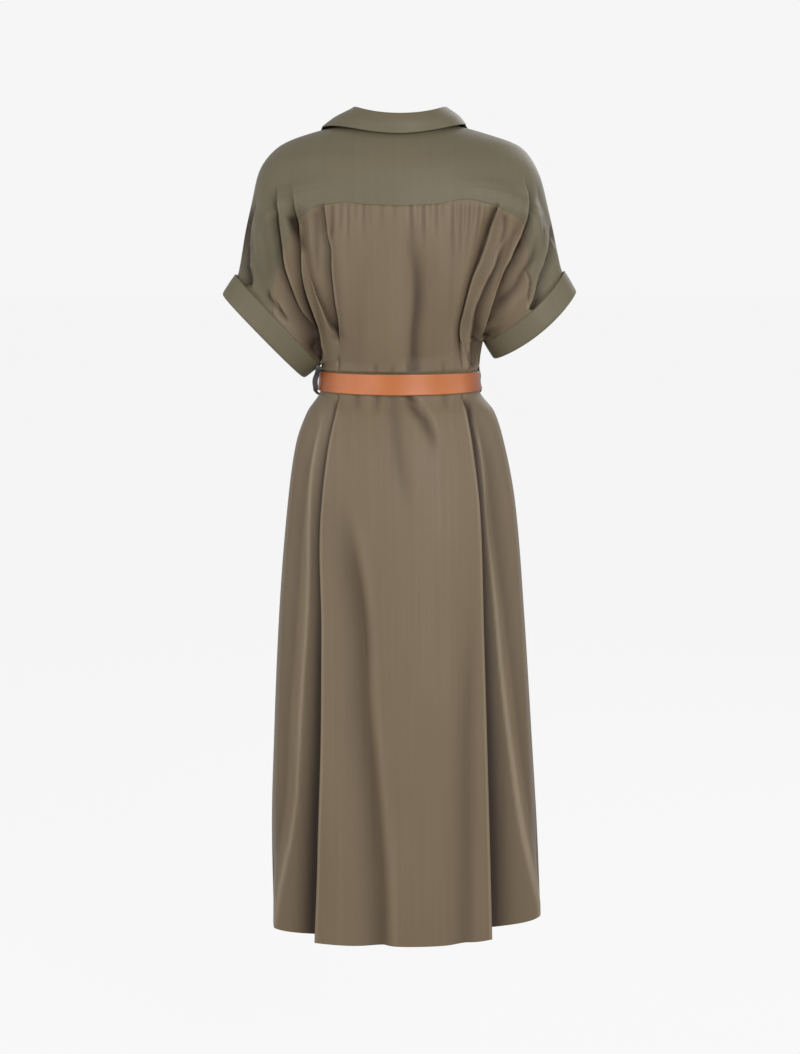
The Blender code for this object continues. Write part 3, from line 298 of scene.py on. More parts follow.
CUFFS = {
    LEFT: Cuff(0.2375, 0.2125, 0.118, 0.34, 0.2578, 0.2411, 0.142, 0.36, 0.054, -0.001),
    RIGHT: Cuff(0.237, 0.2075, 0.1255, 0.3077, 0.256, 0.2378, 0.14, 0.333, 0.054, 0.009),
}


class Fold(NamedTuple):
    """A soft fold, seen straight on: three points that its valley runs through, its shape and its fading.

    left and right are how far the cloth falls away to the valley on each side. fade_in and fade_out are the
    shares of its length over which it comes and goes.
    """

    x1: float
    z1: float
    x2: float
    z2: float
    x3: float
    z3: float
    left: float
    right: float
    depth: float
    fade_in: float
    fade_out: float


BACK_FOLDS = [
    Fold(0.146, -0.112, 0.139, -0.215, 0.11, -0.346, 0.018, 0.022, 0.015, 0.15, 0.26),
    Fold(0.18, -0.1, 0.166, -0.21, 0.118, -0.342, 0.015, 0.019, 0.009, 0.25, 0.26),
    Fold(0.108, -0.112, 0.1, -0.205, 0.089, -0.342, 0.02, 0.016, 0.008, 0.2, 0.3),
    Fold(-0.017, -0.125, -0.022, -0.235, -0.018, -0.345, 0.036, 0.036, 0.006, 0.5, 0.12),
    Fold(-0.136, -0.115, -0.104, -0.235, -0.088, -0.35, 0.018, 0.024, 0.0135, 0.15, 0.34),
    Fold(-0.14, -0.195, -0.112, -0.27, -0.104, -0.345, 0.014, 0.014, 0.0045, 0.3, 0.3),
    Fold(-0.18, -0.12, -0.15, -0.225, -0.122, -0.33, 0.016, 0.018, 0.0115, 0.2, 0.28),
    Fold(0.08, -0.58, 0.055, -0.78, 0.028, -1.172, 0.04, 0.034, 0.0075, 0.3, 0.0),
    Fold(-0.014, -0.385, -0.03, -0.41, -0.05, -0.45, 0.01, 0.012, 0.0035, 0.1, 0.5),
    Fold(-0.098, -0.76, -0.098, -0.9, -0.094, -1.172, 0.03, 0.022, 0.005, 0.4, 0.0),
]
FRONT_FOLDS = [
    Fold(0.148, -0.13, 0.128, -0.235, 0.104, -0.34, 0.016, 0.022, 0.009, 0.2, 0.12),
    Fold(-0.15, -0.13, -0.126, -0.24, -0.102, -0.318, 0.022, 0.016, 0.009, 0.2, 0.12),
    Fold(0.084, -0.235, 0.074, -0.29, 0.062, -0.344, 0.013, 0.015, 0.006, 0.4, 0.1),
    Fold(-0.086, -0.24, -0.075, -0.29, -0.06, -0.344, 0.015, 0.013, 0.0065, 0.4, 0.1),
    Fold(0.05, -0.388, 0.064, -0.56, 0.074, -1.166, 0.02, 0.028, 0.011, 0.35, 0.0),
    Fold(-0.048, -0.388, -0.066, -0.56, -0.078, -1.166, 0.028, 0.02, 0.011, 0.35, 0.0),
    Fold(0.086, -0.388, 0.112, -0.56, 0.135, -1.166, 0.018, 0.022, 0.012, 0.35, 0.0),
    Fold(-0.084, -0.388, -0.114, -0.56, -0.142, -1.166, 0.022, 0.018, 0.012, 0.35, 0.0),
]


class Pleat(NamedTuple):
    """A back pleat.

    depth is how far it is laid under and lean how far its bottom is carried back beneath the centre panel.
    turn and rise are the shares of cloth over which it turns in and comes out again. grow is the length over
    which it opens, and dark the width of the shadow painted into the cloth beside it.
    """

    side: float
    depth: float
    lean: float
    turn: float
    rise: float
    grow: float
    dark: float


PLEATS = [Pleat(LEFT, 0.04, 0.034, 0.06, 0.3, 0.3, 0.0044),
          Pleat(RIGHT, 0.042, 0.036, 0.06, 0.3, 0.3, 0.009)]
PLEAT_LINE = 0.5
PLEAT_TOP = 0.388
STITCHED_TOP = 0.306
STITCHED_DEPTH = 0.0022


class Station(NamedTuple):
    """The collar at one place.

    fold_out and fold_up are how far the folded edge stands out from and above the neck seam. The outer edge
    lies on the row of cloth edge_drop and stays edge_lift off it.
    """

    around: float
    fold_out: float
    fold_up: float
    edge_drop: float
    edge_lift: float


COLLAR = [
    Station(-2.0, 0.0035, 0.008, 0.052, 0.0028),
    Station(-1.5, 0.0, 0.017, 0.03, 0.003),
    Station(-1.0, -0.006, 0.024, 0.0118, 0.005),
    Station(-0.5, 0.0, 0.0262, 0.012, 0.006),
    Station(0.0, 0.002, 0.0262, 0.013, 0.0065),
    Station(0.5, 0.0, 0.0262, 0.013, 0.006),
    Station(1.0, -0.006, 0.024, 0.0165, 0.005),
    Station(1.5, 0.0, 0.017, 0.031, 0.003),
    Station(2.0, 0.0035, 0.008, 0.052, 0.0028),
]


class Share(NamedTuple):
    """For a row, the share of each back quarter where the pleat line stands."""

    drop: float
    left: float
    right: float


class Spots(NamedTuple):
    """Places on the cloth: how far round, how far down, and whether each belongs to the back half."""

    around: Array
    drop: Array
    back: Array


# ---------- sums
def table(rows: Sequence[NamedTuple], column: str, at: Array) -> Array:
    """Values of one table column between its rows, without overshoot.

    Args:
        rows: The table, ordered by its first column.
        column: The column to read.
        at: Where to read it, in the first column's units.

    Returns:
        One value for each place.
    """
    x = np.array([row[0] for row in rows])
    y = np.array([getattr(row, column) for row in rows])
    h = np.diff(x)
    slope = np.diff(y) / h
    tangent = np.zeros_like(y)
    for i in range(1, len(x) - 1):
        if slope[i - 1] * slope[i] > 0.0:
            a, b = 2.0 * h[i] + h[i - 1], h[i] + 2.0 * h[i - 1]
            tangent[i] = (a + b) / (a / slope[i - 1] + b / slope[i])
    tangent[0], tangent[-1] = slope[0], slope[-1]
    k = np.clip(np.searchsorted(x, at) - 1, 0, len(h) - 1)
    t = (at - x[k]) / h[k]
    inside = np.clip(t, 0.0, 1.0)
    hermite = (
        (1.0 + 2.0 * inside) * (1.0 - inside) ** 2 * y[k]
        + inside * (1.0 - inside) ** 2 * h[k] * tangent[k]
        + inside**2 * (3.0 - 2.0 * inside) * y[k + 1]
        + inside**2 * (inside - 1.0) * h[k] * tangent[k + 1]
    )
    after = np.where(t > 1.0, (t - 1.0) * h[k] * tangent[k + 1], 0.0)
    return hermite + after + np.where(t < 0.0, t * h[k] * tangent[k], 0.0)


def ramp(value: Array) -> Array:
    """Smooth step from 0 to 1.

    Args:
        value: 0 or less gives 0, 1 or more gives 1.

    Returns:
        The eased value.
    """
    value = np.clip(value, 0.0, 1.0)
    return value * value * (3.0 - 2.0 * value)


def stack(x: Array, y: Array, z: Array) -> Array:
    """Three arrays as one array of points.

    Args:
        x: First coordinate.
        y: Second coordinate.
        z: Third coordinate.

    Returns:
        Points in the last axis.
    """
    return np.stack(np.broadcast_arrays(x, y, z), axis=-1).astype(float)


def unit(vectors: Array) -> Array:
    """Vectors of length one.

    Args:
        vectors: Any vectors, in the last axis.

    Returns:
        The same directions.
    """
    return vectors / np.maximum(np.linalg.norm(vectors, axis=-1, keepdims=True), 1e-12)


def spread(*parts: float | tuple[float, int]) -> Array:
    """Line positions from a start and runs of even steps.

    Args:
        *parts: The start, then an end and a count for each run.

    Returns:
        All positions in order.
    """
    lines = [parts[0]]
    for end, count in parts[1:]:
        start = lines[-1]
        lines.extend(start + (end - start) * (k + 1) / count for k in range(count))
    return np.array(lines)


# ---------- the worn form
class WornForm:
    """The outer surface of the dress as it hangs filled out, in cloth coordinates."""

    def __init__(self) -> None:
        """Find where the pleat lines stand in every row."""
        self.shares = [Share(row.drop, *(self._pleat_share(row, side) for side in (LEFT, RIGHT)))
                       for row in BACK_ROWS]

    @staticmethod
    def cuff_ring(side: float, angle: Array, along: Array) -> Array:
        """A point on a cuff.

        Args:
            side: LEFT or RIGHT.
            angle: Degrees from its top through the back.
            along: 0 at the free edge, 1 at the fold.

        Returns:
            Points.
        """
        c = CUFFS[side]
        a = np.radians(angle)
        top = stack(c.top_x + (c.fold_top_x - c.top_x) * along, 0.0,
                    -c.top_drop - (c.fold_top_drop - c.top_drop) * along)
        low = stack(c.low_x + (c.fold_low_x - c.low_x) * along, 0.0,
                    -c.low_drop - (c.fold_low_drop - c.low_drop) * along)
        middle, reach = (top + low) / 2.0, (top - low) / 2.0
        out = unit(stack(np.abs(reach[..., 2]), 0.0, -np.abs(reach[..., 0])))
        ring = middle + np.cos(a)[..., None] * reach + c.bow * (np.sin(a) ** 2)[..., None] * out
        ring[..., 1] += np.sin(a) * c.depth
        ring[..., 0] *= side
        return ring

    @classmethod
    def _side_point(cls, side: float, drop: Array, out: Array) -> Array:
        """The end of a row at the shoulder line, the sleeve's open end or the side seam.

        Args:
            side: LEFT or RIGHT.
            drop: The rows.
            out: 1 for the back, -1 for the front.

        Returns:
            Points.
        """
        name = SIDE_NAMES[side]
        arm = stack(side * table(OVER_ARM, name, drop), table(OVER_ARM, "depth", drop),
                    -table(OVER_ARM, name + "_drop", drop))
        seam = stack(side * table(SIDE_SEAM, name, drop), table(SIDE_SEAM, "depth", drop),
                     -table(SIDE_SEAM, name + "_drop", drop))
        angle = np.clip(table(TURNS, "angle", drop), 0.0, 180.0) * out
        ring = cls.cuff_ring(side, angle, np.full_like(angle, CUFF_LAP))
        top = (drop < SLEEVE_TOP)[..., None]
        low = (drop > UNDERARM)[..., None]
        return np.where(top, arm, np.where(low, seam, ring))

    @classmethod
    def _pleat_share(cls, row: BackRow, side: float) -> float:
        """Where the pleat line stands in a back row.

        Args:
            row: The row.
            side: LEFT or RIGHT.

        Returns:
            Its share of the quarter, from 0 to 1.
        """
        end = cls._side_point(side, np.array([row.drop]), 1.0)[0, 0] * side
        want = (row.pleat_left if side == LEFT else row.pleat_right) - row.sway * side
        t = np.linspace(0.0, 1.0, 401)
        x = 3.0 * (1.0 - t) ** 2 * t * row.lead + 3.0 * (1.0 - t) * t**2 * (end - row.near_in) + t**3 * end
        return float(np.interp(want, x, t))

    def _quarter(self, at: Spots, side: float) -> Array:
        """One side of the plain form, before its rows are eased.

        Args:
            at: Places on the cloth.
            side: LEFT or RIGHT.

        Returns:
            Points.
        """
        around, drop, back = at
        out = np.where(back, 1.0, -1.0)
        reach = np.where(back, np.abs(around), 2.0 - np.abs(around))
        line = table(self.shares, SIDE_NAMES[side], drop)
        t_back = np.where(reach < PLEAT_LINE, reach / PLEAT_LINE * line,
                          line + (reach - PLEAT_LINE) / (1.0 - PLEAT_LINE) * (1.0 - line))
        t = np.where(back, t_back, reach * (0.9 + 0.1 * reach))

        def either(column: str, front_column: str = "") -> Array:
            """The column of the back's table or the front's."""
            return np.where(back, table(BACK_ROWS, column, drop),
                            table(FRONT_ROWS, front_column or column, drop))

        height = np.where(back, drop, table(FRONT_ROWS, "front_drop", drop))
        gap = np.where(back, 0.0, table(FRONT_ROWS, "gap", drop))
        lead = either("lead")
        middle = -gap / (3.0 * np.abs(lead))
        past = ~back & (t < middle)
        t = np.where(past, 2.0 * middle - t, t)[..., None]
        start = stack(gap, either("back", "front") * out, -height)
        end = self._side_point(side, drop, out) * np.array([side, 1.0, 1.0])
        first = start + stack(lead, -either("lead_in") * out, either("lead_rise"))
        second = end + stack(-either("near_in"), either("near_out") * out, either("near_up"))
        point = ((1.0 - t) ** 3 * start + 3.0 * (1.0 - t) ** 2 * t * first
                 + 3.0 * (1.0 - t) * t**2 * second + t**3 * end)
        point[..., 0] *= np.where(past, -side, side)
        angle = np.clip(table(TURNS, "angle", drop), 0.0, 180.0) * out
        high = abs(CUFFS[side].fold_top_drop - CUFFS[side].top_drop) / 0.82
        short = np.clip(1.0 - reach, 0.0, 0.12)
        beyond = np.maximum(SLEEVE_TOP - drop, 0.0) * 3.2 + np.maximum(drop - UNDERARM, 0.0) * 1.71
        drift = CUFF_DRIFT * short * np.cos(np.radians(angle)) * out
        guided = self.cuff_ring(side, angle + drift, CUFF_LAP - (short * CUFF_GRIP + beyond) / high)
        hold = ramp((reach - 0.87) / 0.082) * SLEEVE_END.at(drop)
        point = point + (guided - point) * hold[..., None]
        point[..., 0] += table(BACK_ROWS, "sway", drop) * (1.0 - ramp(np.abs(t[..., 0])))
        return point

    def plain(self, at: Spots) -> Array:
        """The plain form, its rows eased into each other over the chest and shoulder blades.

        Args:
            at: Places on the cloth.

        Returns:
            Points.
        """
        around, drop, back = np.broadcast_arrays(*at)
        reach = np.where(back, np.abs(around), 2.0 - np.abs(around))
        ease = CHEST_EASE * CHEST.at(drop) * ramp((0.992 - reach) / 0.08)
        ease = ease + UNDERARM_EASE * UNDER_SLEEVE.at(drop) * ramp((0.998 - reach) / 0.06)
        point = self._row_points(Spots(around, drop, back))
        rows = np.any(ease > 0.0, axis=1) if drop.ndim == 2 else np.full(drop.shape, np.any(ease > 0.0))
        if np.any(rows):
            around, drop, back, ease = around[rows], drop[rows], back[rows], ease[rows]
            point[rows] = sum(weight * self._row_points(Spots(around, drop + ease * share, back))
                              for share, weight in EASE_SHARES)
        return point

    def _row_points(self, at: Spots) -> Array:
        """Both sides of the plain form, before its rows are eased.

        Args:
            at: Places on the cloth.

        Returns:
            Points.
        """
        leftward = at.around >= 0.0
        left = self._quarter(at, LEFT) if np.any(leftward) else None
        right = left if np.all(leftward) else self._quarter(at, RIGHT)
        return np.where(leftward[..., None], right if left is None else left, right)

    def out(self, surface: Callable[[Spots], Array], at: Spots) -> Array:
        """Outward direction of a surface in cloth coordinates.

        Args:
            surface: The plain or the worn form.
            at: Places on the cloth.

        Returns:
            Unit vectors.
        """
        around, drop, back = at
        joined = (drop < SLEEVE_TOP) | (drop > UNDERARM)

        def beside(change: float) -> Array:
            """Points so far round from each place."""
            half = np.where(joined, np.abs(around + change) <= 1.0, back)
            return surface(Spots(around + change, drop, half))

        def below(change: float) -> Array:
            """Points so far down from each place."""
            return surface(Spots(around, drop + change, back))

        return unit(np.cross(beside(STEP) - beside(-STEP), below(STEP / 4.0) - below(-STEP / 4.0)))

    def worn(self, at: Spots) -> Array:
        """The worn form with its large folds and pleats.

        Args:
            at: Places on the cloth.

        Returns:
            Points.
        """
        base = self.plain(at)
        sink, shift = self.large_folds(at, base)
        point = base - self.out(self.plain, at) * sink[..., None]
        point[..., 0] += shift
        return point

    def large_folds(self, at: Spots, base: Array) -> tuple[Array, Array]:
        """How far the large folds and pleats take the cloth in and to the side.

        Args:
            at: Places on the cloth.
            base: The same points on the plain form.

        Returns:
            The way in, and the way to the left.
        """
        around, drop, back = at
        x, z = base[..., 0], base[..., 2]
        sink = np.zeros_like(x)
        for fold in BACK_FOLDS:
            sink = sink + np.where(back, valley(fold, x, z), 0.0)
        for fold in FRONT_FOLDS:
            sink = sink + np.where(back, 0.0, valley(fold, x, z))
        free = 1.0 - BELTED.at(drop)
        sink = sink * ramp(np.abs(np.abs(around) - 1.0) / 0.12) * free
        sink = sink - BLOUSE * BLOUSED.at(drop)
        sink = sink * ramp((drop - YOKE_SEAM + 0.02) / 0.02) * ramp(np.abs(2.0 - np.abs(around)) / 0.1)
        shift = np.zeros_like(x)
        for pleat in PLEATS:
            reach = around * pleat.side - PLEAT_LINE
            bump = ramp(reach / pleat.turn) * (1.0 - ramp((reach - pleat.turn) / pleat.rise))
            grow = 1.0 - np.exp(-np.maximum(drop - PLEAT_TOP, 0.0) / pleat.grow)
            grow = grow / (1.0 - math.exp(-(HEM - PLEAT_TOP) / pleat.grow))
            bump = np.where(back, bump, 0.0) * ramp((drop - PLEAT_TOP) / 0.02) * grow
            sink = sink + bump * pleat.depth
            shift = shift - bump * pleat.lean * pleat.side
            tuck = np.exp(-(((reach - 0.01) / 0.022) ** 2)) * ramp((drop - STITCHED_TOP) / 0.02)
            tuck = tuck * ramp((PLEAT_TOP + 0.02 - drop) / 0.02) * free
            sink = sink + np.where(back, tuck, 0.0) * STITCHED_DEPTH
        return sink, shift


def valley(fold: Fold, x: Array, z: Array) -> Array:
    """Depth of one soft fold at points seen straight on.

    Args:
        fold: The fold.
        x: Sideways places.
        z: Heights.

    Returns:
        How far the cloth falls away at each place.
    """
    s = np.linspace(0.0, 1.0, 13)
    blend = [(1.0 - s) * (1.0 - 2.0 * s), 4.0 * s * (1.0 - s), s * (2.0 * s - 1.0)]
    px = blend[0] * fold.x1 + blend[1] * fold.x2 + blend[2] * fold.x3
    pz = blend[0] * fold.z1 + blend[1] * fold.z2 + blend[2] * fold.z3
    share = np.clip((fold.z1 - z) / (fold.z1 - fold.z3), -0.2, 1.2)
    line = np.interp(share, (fold.z1 - pz) / (fold.z1 - fold.z3), px)
    slope = np.interp(share, (fold.z1 - pz) / (fold.z1 - fold.z3), np.gradient(px) / np.gradient(pz))
    away = (x - line) / np.sqrt(1.0 + slope**2)
    bump = np.exp(-2.5 * (away / np.where(away > 0.0, fold.left, fold.right)) ** 2)
    fade = ramp((share + 0.02) / max(fold.fade_in, 0.01))
    if fold.fade_out > 0.0:
        fade = fade * ramp((1.02 - share) / fold.fade_out)
    return fold.depth * bump * fade


# ---------- creases
@dataclass(frozen=True)
class Crease:
    """A crease seen straight on: its line, its shape across and how far its bottom is drawn under a side."""

    line: tuple[tuple[float, float], ...]
    depth: float
    left: float
    right: float
    tuck: float = 0.0
    round: float = 0.5
    fade_in: float = 0.2
    fade_out: float = 0.2
    lip: float = 0.0
    # shade is painted into the cloth's colour along the crease; below 0 it is a painted highlight.
    shade: float = 0.6

    def at(self, x: Array, z: Array) -> tuple[Array, Array, Array]:
        """The crease at points seen straight on.

        Args:
            x: Sideways places.
            z: Heights.

        Returns:
            How far the cloth falls away, how far it is carried to the left, and the shade painted there,
            below 0 a painted highlight.
        """
        line = np.array(self.line)
        order = -line[:, 1]
        steps = np.linspace(order[0], order[-1], 33)
        path = soft_line(order, line[:, 0], steps)
        slope = np.gradient(path, steps)
        share = np.clip((-z - order[0]) / (order[-1] - order[0]), -0.3, 1.3)
        middle = np.interp(share, np.linspace(0.0, 1.0, 33), path)
        lean = np.interp(share, np.linspace(0.0, 1.0, 33), slope)
        fade = ramp((share + 0.03) / max(self.fade_in, 0.01))
        if self.fade_out > 0.0:
            fade = fade * ramp((1.03 - share) / self.fade_out)
        away = (x - middle + 0.85 * self.tuck * fade) / np.sqrt(1.0 + lean**2)
        far = np.abs(away) / np.where(away > 0.0, self.left, self.right)
        shape = np.exp(-2.4 * (np.sqrt(far**2 + self.round**2) - self.round))
        # The lip stands up, and the shade below also paints it lighter as a highlight.
        raised = self.lip * np.exp(-(((far - 1.8) / 0.7) ** 2))
        raised = raised * np.where((away > 0.0) == (self.tuck > 0.0), 1.0, 0.25 if self.tuck else 1.0)
        return (self.depth * (shape - raised) * fade, self.tuck * shape * fade,
                self.shade * (shape**1.3 - 0.8 * raised) * fade)


def soft_line(at: Array, values: Array, wanted: Array) -> Array:
    """A smooth line through a few points.

    Args:
        at: Where the points lie, in order.
        values: Their values.
        wanted: Where to read the line.

    Returns:
        One value for each place.
    """
    if len(at) < 3:
        return np.interp(wanted, at, values)
    tangent = np.gradient(values, at)
    k = np.clip(np.searchsorted(at, wanted) - 1, 0, len(at) - 2)
    h = at[k + 1] - at[k]
    t = np.clip((wanted - at[k]) / h, 0.0, 1.0)
    return ((1.0 + 2.0 * t) * (1.0 - t) ** 2 * values[k] + t * (1.0 - t) ** 2 * h * tangent[k]
            + t**2 * (3.0 - 2.0 * t) * values[k + 1] + t**2 * (t - 1.0) * h * tangent[k + 1])


# ---------- meshes
class Slot(Enum):
    """The record's material slots."""

    BODY = "body_crepe"
    TRIM = "trim_crepe"
    LOOP = "loop_cloth"
    LEATHER = "belt_leather"
    BRASS = "buckle_brass"
    HORN = "button_horn"


def new_piece(name: str, bm: bmesh.types.BMesh, mesh: bpy.types.Mesh | None = None) -> bpy.types.Object:
    """Put a finished bmesh into the scene as a smooth piece.

    Args:
        name: Object name.
        bm: The shape, which is freed.
        mesh: The mesh that it goes into, if there is one.

    Returns:
        The new object.
    """
    mesh = mesh or bpy.data.meshes.new(name)
    bm.to_mesh(mesh)
    bm.free()
    mesh.polygons.foreach_set("use_smooth", np.ones(len(mesh.polygons), bool))
    piece = bpy.data.objects.new(name, mesh)
    bpy.context.scene.collection.objects.link(piece)
    log.info("%s: %d triangles", name, sum(len(p.vertices) - 2 for p in mesh.polygons))
    return piece


def sheet_mesh(name: str, outer: Array, inner: Array, uv: Array,
               shade: Array | None = None) -> bpy.types.Object:
    """A closed wall between two grids of points, its edges welded where the grids meet.

    Args:
        name: Object name.
        outer: Outer points, rows by columns.
        inner: Inner points, the same grid.
        uv: Cloth coordinates in metres, the same grid.
        shade: Shade painted into each point's colour: 1 at a crease's bottom, below 0 a painted highlight on
            a ridge.

    Returns:
        The new object.
    """
    rows, columns = outer.shape[:2]
    bm = bmesh.new()
    bmesh.ops.create_grid(bm, x_segments=columns - 1, y_segments=rows - 1, size=0.5)
    raised = bmesh.ops.extrude_face_region(bm, geom=list(bm.faces))["geom"]
    bmesh.ops.translate(bm, verts=[g for g in raised if isinstance(g, bmesh.types.BMVert)], vec=(0, 0, 1))
    mesh = bpy.data.meshes.new(name)
    bm.to_mesh(mesh)
    spots = np.empty(len(mesh.vertices) * 3, np.float32)
    mesh.vertices.foreach_get("co", spots)
    spots = spots.reshape(-1, 3)
    i = np.rint((spots[:, 0] + 0.5) * (columns - 1)).astype(int)
    j = np.rint((spots[:, 1] + 0.5) * (rows - 1)).astype(int)
    points = np.where(spots[:, 2:] > 0.5, inner[j, i], outer[j, i])
    mesh.vertices.foreach_set("co", points.astype(np.float32).ravel())
    corners = np.empty(len(mesh.loops), np.int32)
    mesh.loops.foreach_get("vertex_index", corners)
    layer = mesh.uv_layers.new(name="cloth")
    layer.data.foreach_set("uv", uv[j, i][corners].astype(np.float32).ravel())
    # The crease attribute carries painted shade, and below 0 painted highlight.
    tone = mesh.attributes.new("crease", "FLOAT", "POINT")
    values = np.zeros(len(spots)) if shade is None else np.clip(shade[j, i], -0.6, 1.0)
    tone.data.foreach_set("value", values.astype(np.float32))
    bm.clear()
    bm.from_mesh(mesh)
    bmesh.ops.remove_doubles(bm, verts=list(bm.verts), dist=3e-6)
    bmesh.ops.recalc_face_normals(bm, faces=list(bm.faces))
    if bm.calc_volume(signed=True) < 0.0:
        bmesh.ops.reverse_faces(bm, faces=list(bm.faces))
    return new_piece(name, bm, mesh)


def finish_piece(piece: bpy.types.Object, material: bpy.types.Material, slot: Slot,
                 *nodes: str) -> bpy.types.Object:
    """Dress a piece, tie it to the body and let it stand for its solids.

    Args:
        piece: The finished piece.
        material: Its finish.
        slot: The record's material slot; not used.
        *nodes: The solids that it stands for.

    Returns:
        The piece.
    """
    piece.data.materials.clear()
    piece.data.materials.append(material)
    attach(piece, "root")
    if nodes:
        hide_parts(*nodes)
    return piece


def declare(piece: bpy.types.Object, points: Array, held: str, *rests_on: str) -> None:
    """Say what a piece of cloth is cut to, measured along its surface with folds and pleats laid open.

    Args:
        piece: The piece.
        points: The grid of points that it is made on.
        held: How it is held up; not used.
        *rests_on: What it hangs from or lies on; not used.
    """
    width = max(round(float(lengths(points, 1)[:, -1].max()), 3), 0.01)
    length = round(float(lengths(points, 0)[-1].max()), 3)
    cross = np.cross(points[1:, 1:] - points[:-1, :-1], points[1:, :-1] - points[:-1, 1:])
    area = min(float(np.linalg.norm(cross, axis=-1).sum()) / 2.0, width * length)
    log.info("%s: cut %.3f by %.3f m, %.4f square metres", piece.name, width, length, area)


def grid_normals(points: Array) -> Array:
    """Outward directions of a grid of points whose rows run down and columns run to the left.

    Args:
        points: Rows by columns of points.

    Returns:
        Unit vectors.
    """
    return unit(np.cross(np.gradient(points, axis=1), np.gradient(points, axis=0)))


def lengths(points: Array, axis: int) -> Array:
    """Distance along a grid's lines.

    Args:
        points: Rows by columns of points.
        axis: 0 down the columns, 1 along the rows.

    Returns:
        Distance from the first line, for each point.
    """
    steps = np.linalg.norm(np.diff(points, axis=axis), axis=-1)
    start = np.zeros_like(np.take(steps, [0], axis=axis))
    return np.concatenate([start, np.cumsum(steps, axis=axis)], axis=axis)


def rounded(wall: Array | float, *edges: Array) -> Array:
    """Half the wall's thickness, run out in a round at its edges.

    Args:
        wall: Full thickness.
        *edges: Distance from each edge, for each point.

    Returns:
        Half thickness.
    """
    nearest = np.minimum.reduce(np.broadcast_arrays(*edges))
    share = np.clip(nearest / (np.asarray(wall) / 2.0), 0.0, 1.0)
    return np.asarray(wall) / 2.0 * np.sqrt(np.maximum(1.0 - (1.0 - share) ** 2, 0.0))


# ---------- finishes
class Tone:
    """A shader socket that can be summed with others and with numbers."""

    def __init__(self, tree: "Finish", socket: bpy.types.NodeSocket) -> None:
        """Wrap a socket of a finish."""
        self.tree = tree
        self.socket = socket

    def _with(self, operation: str, first: "Tone | float", second: "Tone | float") -> "Tone":
        """A Math node of two values."""
        return self.tree.node("ShaderNodeMath", {"operation": operation}, {0: first, 1: second})

    def __add__(self, other: "Tone | float") -> "Tone":
        """This tone plus another or a number."""
        return self._with("ADD", self, other)

    def __radd__(self, other: "Tone | float") -> "Tone":
        """A number plus this tone."""
        return self._with("ADD", other, self)

    def __sub__(self, other: "Tone | float") -> "Tone":
        """This tone less another or a number."""
        return self._with("SUBTRACT", self, other)

    def __rsub__(self, other: "Tone | float") -> "Tone":
        """A number less this tone."""
        return self._with("SUBTRACT", other, self)

    def __mul__(self, other: "Tone | float") -> "Tone":
        """This tone times another or a number."""
        return self._with("MULTIPLY", self, other)

    def __rmul__(self, other: "Tone | float") -> "Tone":
        """A number times this tone."""
        return self._with("MULTIPLY", other, self)

    def clamped(self, low: float, high: float) -> "Tone":
        """The tone stretched from low and high to 0 and 1, and held there."""
        return self.tree.node("ShaderNodeMapRange", {}, {0: self, 1: low, 2: high})


class Finish:
    """One procedural material and its node tree."""

    def __init__(self, name: str) -> None:
        """Start a material with its shader.

        Args:
            name: Material name.
        """
        self.material = bpy.data.materials.new(name)
        self.material.use_nodes = True
        self.tree = self.material.node_tree
        self.shader = self.tree.nodes["Principled BSDF"]

    def node(self, kind: str, settings: dict[str, object], inputs: dict[int | str, object],
             output: int | str = 0) -> Tone:
        """Add a node.

        Args:
            kind: The node's type.
            settings: Its own settings.
            inputs: A value or a tone for each named or numbered input.
            output: Which output to hand back.

        Returns:
            The output.
        """
        made = self.tree.nodes.new(kind)
        for key, value in settings.items():
            setattr(made, key, value)
        for key, value in inputs.items():
            self._feed(made.inputs[key], value)
        return Tone(self, made.outputs[output])

    def _feed(self, socket: bpy.types.NodeSocket, value: object) -> None:
        """Link a tone to a socket, or set its value; a colour gets its alpha.

        Args:
            socket: The socket.
            value: The tone, number, name or colour.
        """
        if isinstance(value, Tone):
            self.tree.links.new(value.socket, socket)
        else:
            socket.default_value = (*value, 1.0) if socket.type == "RGBA" else value

    def cloth(self, across: float, down: float) -> Tone:
        """Cloth coordinates, stretched.

        Args:
            across: Repeats for each metre across.
            down: Repeats for each metre down.

        Returns:
            A vector.
        """
        spot = self.node("ShaderNodeUVMap", {"uv_map": "cloth"}, {})
        return self.node("ShaderNodeVectorMath", {"operation": "MULTIPLY"}, {0: spot, 1: (across, down, 1.0)})

    def place(self, scale: float) -> Tone:
        """The object's own coordinates, stretched evenly.

        Args:
            scale: Repeats for each metre.

        Returns:
            A vector.
        """
        spot = self.node("ShaderNodeTexCoord", {}, {}, "Object")
        return self.node("ShaderNodeVectorMath", {"operation": "MULTIPLY"}, {0: spot, 1: (scale,) * 3})

    def noise(self, vector: Tone, detail: float = 2.0, roughness: float = 0.5) -> Tone:
        """Soft noise from 0 to 1.

        Args:
            vector: Where to read it.
            detail: Octaves.
            roughness: How much the fine octaves show.

        Returns:
            The noise.
        """
        return self.node("ShaderNodeTexNoise", {}, {"Vector": vector, "Scale": 1.0, "Detail": detail,
                                                    "Roughness": roughness})

    def mix(self, share: Tone | float, first: Tone | Colour, second: Tone | Colour) -> Tone:
        """Mix of two colours.

        Args:
            share: 0 for the first, 1 for the second.
            first: A colour.
            second: A colour.

        Returns:
            The mixed colour.
        """
        return self.node("ShaderNodeMix", {"data_type": "RGBA"}, {0: share, 6: first, 7: second}, 2)

    def bump(self, height: Tone, distance: float, strength: float = 1.0, under: Tone | None = None) -> Tone:
        """Fine relief.

        Args:
            height: The relief, from 0 to 1.
            distance: Its depth in metres.
            strength: Its share.
            under: A relief below it.

        Returns:
            The normal.
        """
        inputs = {"Height": height, "Distance": distance, "Strength": strength}
        if under is not None:
            inputs["Normal"] = under
        return self.node("ShaderNodeBump", {}, inputs)

    def set(self, **sockets: object) -> None:
        """Feed the shader's own sockets, named with _ for a space."""
        for name, value in sockets.items():
            self._feed(self.shader.inputs[name.replace("_", " ")], value)


